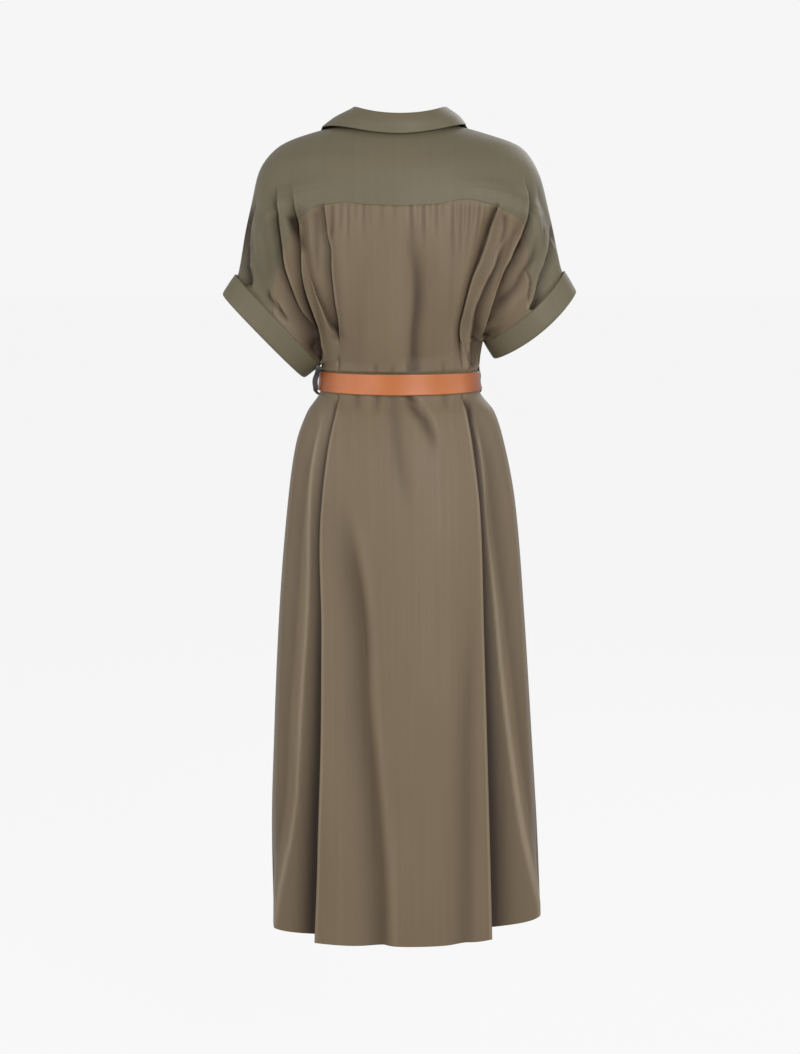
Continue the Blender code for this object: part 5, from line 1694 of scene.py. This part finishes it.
# ---------- collar and cuffs
@dataclass
class Collar:
    """One-piece turned-down collar."""

    form: WornForm
    steps: int = 70
    wall: float = TRIM_CLOTH
    inset: float = 0.0009

    def point(self, around: Array, across: Array) -> Array:
        """Point of the collar's outer face.

        Args:
            around: Cloth coordinate round the neck.
            across: 0 at the neck seam, 1 at the fold, 2 at the outer edge.

        Returns:
            Points.
        """
        around, across = (a.ravel() for a in np.broadcast_arrays(around, across))
        low = np.full_like(around, NECK_SEAM)

        def neck_at(where: Array) -> Array:
            """Points of the neck seam."""
            return self.form.plain(Spots(where, low, np.abs(where) <= 1.0))

        neck, along = neck_at(around), neck_at(around + STEP) - neck_at(around - STEP)
        out = -unit(stack(along[..., 1], -along[..., 0], 0.0))
        up = np.array([0.0, 0.0, 1.0])
        fold_out, fold_up = table(COLLAR, "fold_out", around), table(COLLAR, "fold_up", around)
        edge_drop, lift = table(COLLAR, "edge_drop", around), table(COLLAR, "edge_lift", around)
        at = Spots(around, edge_drop, np.abs(around) <= 1.0)
        edge = self.form.plain(at) + self.form.out(self.form.plain, at) * lift[..., None]
        seam = neck + up * 0.0022
        top = neck + out * fold_out[..., None] + up * fold_up[..., None]
        inner = top - out * 0.0028 - up * 0.0022
        outer = top + out * 0.0036 - up * 0.0022
        middle = (seam + inner) / 2.0 - out * 0.001
        fall = (outer + edge) / 2.0 + out * 0.0022 + up * 0.0012
        stations = np.array([0.0, 0.5, 0.9, 1.0, 1.1, 1.55, 2.0])
        lines = np.stack([seam, middle, inner, top, outer, fall, edge])
        k = np.clip(np.searchsorted(stations, across, side="right") - 1, 0, len(stations) - 2)
        t = ((across - stations[k]) / np.diff(stations)[k])[..., None]
        n = np.arange(len(around))
        p0, p1 = lines[np.maximum(k - 1, 0), n], lines[k, n]
        p2, p3 = lines[k + 1, n], lines[np.minimum(k + 2, len(stations) - 1), n]
        return 0.5 * (2.0 * p1 + (p2 - p0) * t + (2.0 * p0 - 5.0 * p1 + 4.0 * p2 - p3) * t**2
                      + (3.0 * p1 - p0 - 3.0 * p2 + p3) * t**3)

    def build(self, material: bpy.types.Material) -> bpy.types.Object:
        """Make the collar.

        Args:
            material: Its finish.

        Returns:
            The piece.
        """
        around = spread(-1.98, (-1.975, 2), (-1.0, 36), (1.0, self.steps), (1.975, 36), (1.98, 2))
        across = spread(0.0, (0.02, 2), (0.8, 8), (1.2, 14), (1.9, 10), (1.97, 3), (2.0, 4))
        shape = (len(across), len(around))
        points = self.point(around[None, :], across[:, None]).reshape(*shape, 3)
        normal = -grid_normals(points)
        side, down = lengths(points, 1), lengths(points, 0)
        half = rounded(self.wall, down, down[-1:] - down, side, side[:, -1:] - side)
        centre = points + normal * self.inset
        uv = np.stack([side - side[:, shape[1] // 2:shape[1] // 2 + 1], down], axis=-1)
        wall = normal * half[..., None]
        piece = sheet_mesh("collar_cloth", centre - wall, centre + wall, uv)
        declare(piece, points, "folded", "yoke_cloth")
        return finish_piece(piece, material, Slot.TRIM, "collar")


@dataclass
class SleeveCuff:
    """Turned-up cuff: one band folded at the sleeve's end, its outer layer lapping over the sleeve."""

    side: float
    turns: int = 160
    wall: float = CUFF_CLOTH
    profile: tuple[tuple[float, float], ...] = (
        (0.0, 0.0028), (0.04, 0.0029), (0.3, 0.003), (0.6, 0.0027), (0.85, 0.0023), (0.95, 0.0015),
        (0.985, 0.0003), (0.975, -0.0007), (0.93, -0.0011), (0.75, -0.0012), (0.4, -0.0013), (0.19, -0.0014),
        (0.1, -0.0022), (0.06, -0.0024))

    def build(self, material: bpy.types.Material) -> bpy.types.Object:
        """Make the cuff.

        Args:
            material: Its finish.

        Returns:
            The piece.
        """
        angle = np.linspace(0.0, 360.0, self.turns + 1)[None, :]
        knots = np.array(self.profile)
        at = np.arange(len(knots), dtype=float)
        fine = np.concatenate([[0.0, 0.02, 0.06, 0.12], np.linspace(0.3, len(knots) - 1.3, 42),
                               len(knots) - 1.0 - np.array([0.12, 0.06, 0.02, 0.0])])
        along = soft_line(at, knots[:, 0], fine)[:, None]
        off = soft_line(at, knots[:, 1], fine)[:, None]
        under = ramp((-np.cos(np.radians(angle)) - 0.55) / 0.35)
        share = along + under * CUFF_LOW_SHORT * ramp((0.3 - fine[:, None] / 2.0) / 0.3)
        angle, share = np.broadcast_arrays(angle, share)
        ring = WornForm.cuff_ring(self.side, angle, share)
        ahead = WornForm.cuff_ring(self.side, angle + 0.5, share)
        further = WornForm.cuff_ring(self.side, angle, share + 0.01)
        out = unit(np.cross(ahead - ring, further - ring)) * -self.side
        points = ring + out * off[..., None]
        normal = grid_normals(points) * self.side * -1.0
        normal[:, 0] = normal[:, -1] = unit(normal[:, 0] + normal[:, -1])
        down = lengths(points, 0)
        half = rounded(self.wall, down, down[-1:] - down)
        name = SIDE_NAMES[self.side]
        uv = np.stack([lengths(points, 1), down], axis=-1)
        wall = normal * half[..., None]
        piece = sheet_mesh(f"cuff_{name}_cloth", points + wall, points - wall, uv)
        declare(piece, points, "folded", f"front_{name}_cloth")
        return finish_piece(piece, material, Slot.TRIM, f"cuff_{name}")


# ---------- belt, buckle, loops and buttons
class Waist:
    """Places off the cloth round the waist."""

    def __init__(self, form: WornForm) -> None:
        """Measure the way round the waist.

        Args:
            form: The worn form.
        """
        self.form = form
        self.around = np.linspace(2.0, -2.0, 801)
        middle = np.full_like(self.around, BELT_MIDDLE)
        points = form.worn(Spots(self.around, middle, np.abs(self.around) <= 1.0))
        steps = np.linalg.norm(np.diff(points, axis=0), axis=1)
        self.along = np.concatenate([[0.0], np.cumsum(steps)])
        self.length = float(self.along[-1])

    def at(self, along: Array, off: Array, height: Array) -> Array:
        """Point off the cloth.

        Args:
            along: Distance from the centre front, round by the left side.
            off: Distance off the cloth.
            height: Height above the belt's middle.

        Returns:
            Points.
        """
        along, off, height = np.broadcast_arrays(along, off, height)
        around = np.interp(np.mod(along, self.length), self.along, self.around)
        at = Spots(around, BELT_MIDDLE - height, np.abs(around) <= 1.0)
        point, out = self.form.worn(at), self.form.out(self.form.worn, at)
        from_front = np.abs(np.mod(along + self.length / 2.0, self.length) - self.length / 2.0)
        over = PLACKET_CLEAR * ramp((0.11 - from_front) / 0.05)
        return point + out * (off + BELT_CLEAR + over)[..., None]

    def band(self, name: str, path: Array, heights: Array, wall: float, round_off: float,
             narrow: Array, pits: Sequence[float]) -> bpy.types.Object:
        """A flat band that follows a path in distance along and distance off the cloth.

        Args:
            name: Object name.
            path: Distance along and off, a row for each station.
            heights: Lines across the band, as heights.
            wall: Its thickness.
            round_off: Radius of its edges.
            narrow: Share of its full width at each station.
            pits: Distances along where it has a hole.

        Returns:
            The new object.
        """
        tangent = np.gradient(path, axis=0)
        tangent /= np.linalg.norm(tangent, axis=1, keepdims=True)
        across = np.stack([-tangent[:, 1], tangent[:, 0]], axis=1)
        height = heights[:, None] * narrow[None, :]
        run = np.concatenate([[0.0], np.cumsum(np.linalg.norm(np.diff(path, axis=0), axis=1))])
        half = rounded(2.0 * round_off, heights[:, None] - heights[0], heights[-1] - heights[:, None],
                       run[None, :], (run[-1] - run)[None, :])
        half = half + np.where(half > 0.0, (wall / 2.0 - round_off) * ramp(half / round_off * 1.4), 0.0)
        sink = np.zeros_like(height)
        for pit in pits:
            away = np.hypot(path[None, :, 0] - pit, height)
            sink = sink + (wall - 0.0004) * ramp((0.0024 - away) / 0.0007)
        sides = []
        for sign in (1.0, -1.0):
            near = sign * half - (sink if sign > 0.0 else 0.0)
            along = path[None, :, 0] + across[None, :, 0] * near
            off = path[None, :, 1] + across[None, :, 1] * near
            sides.append(self.at(along, off, height))
        uv = np.stack(np.broadcast_arrays(run[None, :], heights[:, None]), axis=-1)
        # The holes get painted shade through the crease attribute.
        return sheet_mesh(name, sides[0], sides[1], uv, ramp(sink / wall) * 0.8)


def fine_path(knots: Sequence[tuple[float, float]], count: int) -> Array:
    """A smooth path through a few points.

    Args:
        knots: The points.
        count: Steps between two of them.

    Returns:
        Points of the path.
    """
    table_of = np.array(knots)
    at = np.concatenate([[0.0], np.cumsum(np.linalg.norm(np.diff(table_of, axis=0), axis=1))])
    runs = [np.linspace(a, b, count, endpoint=False) for a, b in zip(at, at[1:])]
    wanted = np.concatenate(runs + [at[-1:]])
    return np.stack([soft_line(at, table_of[:, k], wanted) for k in (0, 1)], axis=1)


@dataclass
class Belt:
    """Leather strap: its folded end round the buckle's bar, round the waist and back over itself."""

    waist: Waist

    def path(self) -> Array:
        """Where the strap runs.

        Returns:
            Distance along and off the cloth, a row for each station.
        """
        length, bend = self.waist.length, 0.0033
        turn = [(BAR_ALONG - bend * math.sin(a), 0.0065 - bend * math.cos(a))
                for a in np.radians([0.0, 30.0, 60.0, 90.0, 120.0, 150.0, 180.0])]
        knots = [(0.05, 0.0034), (0.034, 0.0034)] + turn
        knots += [(0.03, 0.0085), (0.052, 0.0064), (0.066, 0.004), (0.08, 0.0026)]
        knots += [(0.08 + (length - 0.15) * (k + 1) / 76, 0.0026) for k in range(76)]
        knots += [(length + a, off) for a, off in (
            (-0.05, 0.0026), (-0.034, 0.0031), (-0.021, 0.0034), (-0.014, 0.004), (-0.0085, 0.0056),
            (0.003, 0.0091), (0.0095, 0.0113), (0.016, 0.0127), (0.03, 0.0115), (0.052, 0.0093),
            (0.064, 0.0075), (0.074, 0.0063), (0.084, 0.0056), (0.108, 0.0055), (0.142, 0.0055))]
        return fine_path(knots, 4)

    def build(self, material: bpy.types.Material) -> bpy.types.Object:
        """Make the strap.

        Args:
            material: Its finish.

        Returns:
            The piece.
        """
        path = self.path()
        half = BELT_WIDTH / 2.0
        edge = [half, half - 0.0002, half - 0.0005, half - 0.0009, half - 0.0016]
        heights = np.array([-e for e in edge] + [*np.linspace(-half + 0.003, half - 0.003, 15)] + edge[::-1])
        left = path[-1, 0] - path[:, 0]
        narrow = np.where(left < 0.014, 0.45 + 0.55 * np.sqrt(1.0 - (1.0 - left / 0.014) ** 2), 1.0)
        pits = [self.waist.length + a for a in (-0.0085, 0.06, 0.084, 0.108)]
        piece = self.waist.band("belt_strap", path, heights, BELT_WALL, EDGE_ROUND, narrow, pits)
        return finish_piece(piece, material, Slot.LEATHER, "belt")


@dataclass
class Loop:
    """Narrow loop of ribbon near the side seam that the belt passes through; it may twist to face back."""

    waist: Waist
    side: float
    where: float
    reach: float
    twist: float
    slack: float

    def build(self, material: bpy.types.Material) -> bpy.types.Object:
        """Make the loop.

        Args:
            material: Its finish.

        Returns:
            The piece.
        """
        reach, slack = self.reach, self.slack
        knots = [(0.0006, 0.0168), (0.0026 * slack, 0.0176), (0.008 * slack, 0.0168),
                 (reach * 0.8 + 0.0012 * (1.0 - slack) / 0.4, 0.0105), (reach, 0.0), (reach * 0.85, -0.011),
                 (0.0074 * slack, -0.0182), (0.0032 * slack, -0.0198), (0.0018, -0.0188)]
        line = fine_path(knots, 8)
        tangent = np.gradient(line, axis=0)
        tangent /= np.linalg.norm(tangent, axis=1, keepdims=True)
        across = np.stack([-tangent[:, 1], tangent[:, 0]], axis=1)
        turn = np.radians(self.twist) * np.sin(np.linspace(0.0, math.pi, len(line)))[:, None]
        centre = float(np.interp(-self.where, -self.waist.around, self.waist.along))
        edge = LOOP_WIDTH / 2.0
        wide = np.array([-edge, -edge + 0.0001, -edge + 0.0004, -edge + 0.0015, 0.0, edge - 0.0015,
                         edge - 0.0004, edge - 0.0001, edge])[None, :]
        run = lengths(line[None], 1)[0][:, None]
        half = rounded(RIBBON_CLOTH, wide + edge, edge - wide, run, run[-1] - run)
        faces = []
        for sign in (-1.0, 1.0):
            out = sign * half * np.cos(turn) + wide * np.sin(turn)
            faces.append(self.waist.at(centre + wide * np.cos(turn) - sign * half * np.sin(turn),
                                       line[:, :1] + across[:, :1] * out, line[:, 1:] + across[:, 1:] * out))
        uv = np.stack(np.broadcast_arrays(wide, run), axis=-1)
        name = SIDE_NAMES[self.side]
        piece = sheet_mesh(f"belt_loop_{name}_ribbon", faces[0], faces[1], uv)
        return finish_piece(piece, material, Slot.LOOP, f"belt_loop_{name}")


@dataclass
class Wire:
    """A round bar along a path off the waist, thinner at its ends where it is open."""

    waist: Waist
    name: str
    node: str
    knots: Sequence[tuple[float, float, float]]
    radius: float
    closed: bool

    def build(self, material: bpy.types.Material) -> bpy.types.Object:
        """Make the bar.

        Args:
            material: Its finish.

        Returns:
            The piece.
        """
        knots = np.array(list(self.knots) + ([self.knots[0]] if self.closed else []))
        at = np.arange(len(knots), dtype=float)
        wanted = np.linspace(0.0, at[-1], (len(knots) - 1) * 5 + 1)
        line = np.stack([soft_line(at, knots[:, k], wanted) for k in range(3)], axis=1)
        centre = self.waist.at(line[:, 0], line[:, 1], line[:, 2])
        tangent = np.gradient(centre, axis=0)
        if self.closed:
            tangent[0] = tangent[-1] = tangent[0] + tangent[-1]
        out = self.waist.at(line[:, 0], line[:, 1] + 0.001, line[:, 2]) - centre
        side = unit(np.cross(unit(tangent), out))
        out = unit(np.cross(side, tangent))
        turn = np.linspace(0.0, 2.0 * math.pi, 17)
        size = np.full(len(line), self.radius)
        if not self.closed:
            run = lengths(centre[None], 1)[0]
            nearest = np.minimum(run, run[-1] - run)
            short = 1.0 - np.clip(nearest / self.radius, 0.0, 1.0)
            size = self.radius * np.sqrt(np.clip(1.0 - short**2, 0.0, 1.0))
        ring = (centre[:, None] + side[:, None] * (np.cos(turn)[None, :] * size[:, None])[..., None]
                + out[:, None] * (np.sin(turn)[None, :] * size[:, None])[..., None])
        bm = bmesh.new()
        bmesh.ops.create_grid(bm, x_segments=len(turn) - 1, y_segments=len(line) - 1, size=0.5)
        for vertex in bm.verts:
            i, j = round((vertex.co.x + 0.5) * (len(turn) - 1)), round((vertex.co.y + 0.5) * (len(line) - 1))
            vertex.co = ring[j, i]
        bmesh.ops.remove_doubles(bm, verts=list(bm.verts), dist=1e-6)
        bmesh.ops.recalc_face_normals(bm, faces=list(bm.faces))
        return finish_piece(new_piece(self.name, bm), material, Slot.BRASS, self.node)


@dataclass
class Buckle:
    """Plain frame with its prong on the bar."""

    waist: Waist
    far: float = -0.0225
    half: float = 0.0195
    corner: float = 0.006
    bar_corner: float = 0.0015
    off: float = 0.0065
    wire: float = 0.0015
    prong_wire: float = 0.0011
    prong: tuple[tuple[float, float, float], ...] = (
        (0.011, 0.0062, 0.0), (0.004, 0.0061, 0.0), (0.0, 0.0066, 0.0), (-0.0045, 0.0079, 0.0),
        (-0.01, 0.0091, 0.0), (-0.017, 0.0095, 0.0), (-0.0245, 0.0096, 0.0))

    def frame_line(self) -> list[tuple[float, float, float]]:
        """The frame's path round its four corners.

        Returns:
            Distance along, distance off the cloth and height of each knot.
        """
        near, far, half = BAR_ALONG - self.bar_corner, self.far + self.corner, self.half
        small, large = self.bar_corner, self.corner
        corners = ((near, half - small, small, 0.0), (far, half - large, large, 90.0),
                   (far, -half + large, large, 180.0), (near, -half + small, small, 270.0))
        line = []
        for x, z, r, start in corners:
            for k in range(4):
                a = math.radians(start + 30.0 * k)
                line.append((x + r * math.cos(a), self.off, z + r * math.sin(a)))
        return line

    def build(self, material: bpy.types.Material) -> None:
        """Make the frame and the prong.

        Args:
            material: Their finish.
        """
        Wire(self.waist, "buckle_frame", "buckle", self.frame_line(), self.wire, True).build(material)
        Wire(self.waist, "buckle_prong", "prong", self.prong, self.prong_wire, False).build(material)


@dataclass
class Button:
    """Four-hole button on the band, its holes sunk."""

    form: WornForm
    number: int
    drop: float
    radius: float = 0.0058
    height: float = 0.0024

    def build(self, material: bpy.types.Material) -> bpy.types.Object:
        """Make the button.

        Args:
            material: Its finish.

        Returns:
            The piece.
        """
        at = Spots(np.array([-2.0]), np.array([self.drop]), np.array([False]))
        point = Vector(self.form.worn(at)[0])
        out = Vector(self.form.out(self.form.worn, at)[0])
        base = point + out * (PLACKET_LIFT + 0.0006)
        turned = np.array(out.to_track_quat("Z", "Y").to_matrix())
        r = np.array([0.0, 0.0009, 0.0014, 0.0019, 0.0024, 0.003, 0.0038, 0.0043, 0.0049, 0.0054, 0.0057,
                      self.radius])
        angle = np.linspace(0.0, 2.0 * math.pi, 41)
        x, y = r[:, None] * np.cos(angle), r[:, None] * np.sin(angle)
        rim = 0.0006 * np.exp(-(((r - 0.005) / 0.0006) ** 2))[:, None] * np.ones_like(x)
        top = self.height * np.sqrt(np.clip(1.0 - (r / self.radius) ** 8, 0.0, 1.0))[:, None] * 0.75 + rim
        for a in (0.25, 0.75, 1.25, 1.75):
            away = np.hypot(x - 0.0019 * math.cos(a * math.pi), y - 0.0019 * math.sin(a * math.pi))
            top = top - 0.0011 * ramp((0.0008 - away) / 0.0004)
        bottom = np.broadcast_to(-0.0003 * (1.0 - (r / self.radius) ** 2)[:, None], x.shape)
        faces = [np.stack([x, y, z], axis=-1) @ turned.T + np.array(base) for z in (top, bottom)]
        uv = np.stack([x, y], axis=-1)
        piece = sheet_mesh(f"button_{self.number}_horn", faces[0], faces[1], uv)
        return finish_piece(piece, material, Slot.HORN, f"button_{self.number}")


# ---------- the whole dress
@dataclass
class Dress:
    """Every piece of the dress, from the cloth to the buttons."""

    form: WornForm = field(default_factory=WornForm)

    def build(self) -> None:
        """Make all the pieces."""
        body, shaded_trim = BODY_CREPE.build(), SHADED_TRIM_CREPE.build()
        creases = BODICE_CREASES + tuple(gather.crease() for gather in GATHERS) + SKIRT_CREASES
        Panel("back_cloth", Half.BACK, back_columns(), body_rows(), creases, self.form, lift=body_lift,
              held="gathered").build(body, Slot.BODY, "back_panel")
        Panel("yoke_cloth", Half.BACK, back_columns(), yoke_rows(), SLEEVE_CREASES, self.form, lift=yoke_lift,
              held="draped", rests_on=()).build(shaded_trim, Slot.TRIM, "back_yoke")
        for side in (LEFT, RIGHT):
            Front(side, self.form).build(body)
        Collar(self.form).build(shaded_trim)
        for side in (LEFT, RIGHT):
            SleeveCuff(side).build(shaded_trim)
        self.hardware()

    def hardware(self) -> None:
        """Make the belt, its buckle and keeper, the loops and the buttons."""
        waist = Waist(self.form)
        leather, ribbon, brass, horn = (finish.build() for finish in (BELT_LEATHER, LOOP_RIBBON, BUCKLE_BRASS,
                                                                      BUTTON_HORN))
        Belt(waist).build(leather)
        Buckle(waist).build(brass)
        Loop(waist, LEFT, where=0.87, reach=0.0108, twist=74.0, slack=1.0).build(ribbon)
        Loop(waist, RIGHT, where=-1.1, reach=0.0048, twist=0.0, slack=0.4).build(ribbon)
        for number, drop in enumerate(BUTTON_DROPS, start=1):
            Button(self.form, number, drop).build(horn)
        keeper = bpy.data.objects["keeper"]
        keeper.data.materials.clear()
        keeper.data.materials.append(leather)
        log.info("keeper: the solid itself, in leather")


# ---------- camera, light and floor
@dataclass(frozen=True)
class Studio:
    """Pale floor, soft light and the camera behind the dress."""

    pale: float = 0.92
    floor_drop: float = 1.6
    distance: float = 3.6
    aim_drop: float = 0.583
    elevation: float = 8.0
    lens: float = 83.885
    sensor: float = 36.0
    lamps: tuple[tuple[str, tuple[float, float, float], float, float], ...] = (
        ("key", (-1.1, 3.2, 0.5), 1.2, 116.0), ("fill", (1.9, 2.8, 0.0), 1.6, 46.0),
        ("side_left", (2.6, 1.0, 0.3), 1.6, 36.0), ("side_right", (-2.6, 1.0, 0.3), 1.6, 38.0),
        ("front_key", (-1.6, -2.8, 1.2), 2.0, 40.0))

    def lamp(self, name: str, place: tuple[float, float, float], size: float, watts: float) -> None:
        """Add a soft square light aimed at the dress.

        Args:
            name: Object name.
            place: Where it stands.
            size: Its side.
            watts: Its power.
        """
        light = bpy.data.lights.new(name, "AREA")
        light.size = size
        light.energy = watts
        lamp = bpy.data.objects.new(name, light)
        lamp.location = place
        aim = Vector((0.0, 0.0, -self.aim_drop)) - Vector(place)
        lamp.rotation_euler = aim.to_track_quat("-Z", "Y").to_euler()
        bpy.context.scene.collection.objects.link(lamp)

    def build(self) -> None:
        """Set the stage."""
        scene = bpy.context.scene
        scene.view_settings.view_transform = "Standard"
        world = bpy.data.worlds.new("studio")
        world.use_nodes = True
        world.node_tree.nodes["Background"].inputs["Color"].default_value = (self.pale,) * 3 + (1.0,)
        scene.world = world
        bm = bmesh.new()
        bmesh.ops.create_circle(bm, cap_ends=True, segments=96, radius=30.0)
        mesh = bpy.data.meshes.new("floor")
        bm.to_mesh(mesh)
        bm.free()
        floor = bpy.data.objects.new("floor", mesh)
        floor.location.z = -self.floor_drop
        scene.collection.objects.link(floor)
        pale = Finish("floor_finish")
        pale.set(Base_Color=(0.04, 0.04, 0.04), Roughness=0.9, Specular_IOR_Level=0.0,
                 Emission_Color=(1.0, 1.0, 1.0), Emission_Strength=self.pale - 0.045)
        mesh.materials.append(pale.material)
        for lamp in self.lamps:
            self.lamp(*lamp)
        camera = bpy.data.cameras.new("camera")
        camera.lens = self.lens
        camera.sensor_width = self.sensor
        view = bpy.data.objects.new("camera", camera)
        rise = self.distance * math.tan(math.radians(self.elevation))
        view.location = (0.0, self.distance, -self.aim_drop + rise)
        aim = Vector((0.0, -self.distance, -rise))
        view.rotation_euler = aim.to_track_quat("-Z", "Y").to_euler()
        scene.collection.objects.link(view)
        scene.camera = view


def main() -> None:
    """Build the dress and its studio."""
    Dress().build()
    Studio().build()


if __name__ == "__main__":
    main()
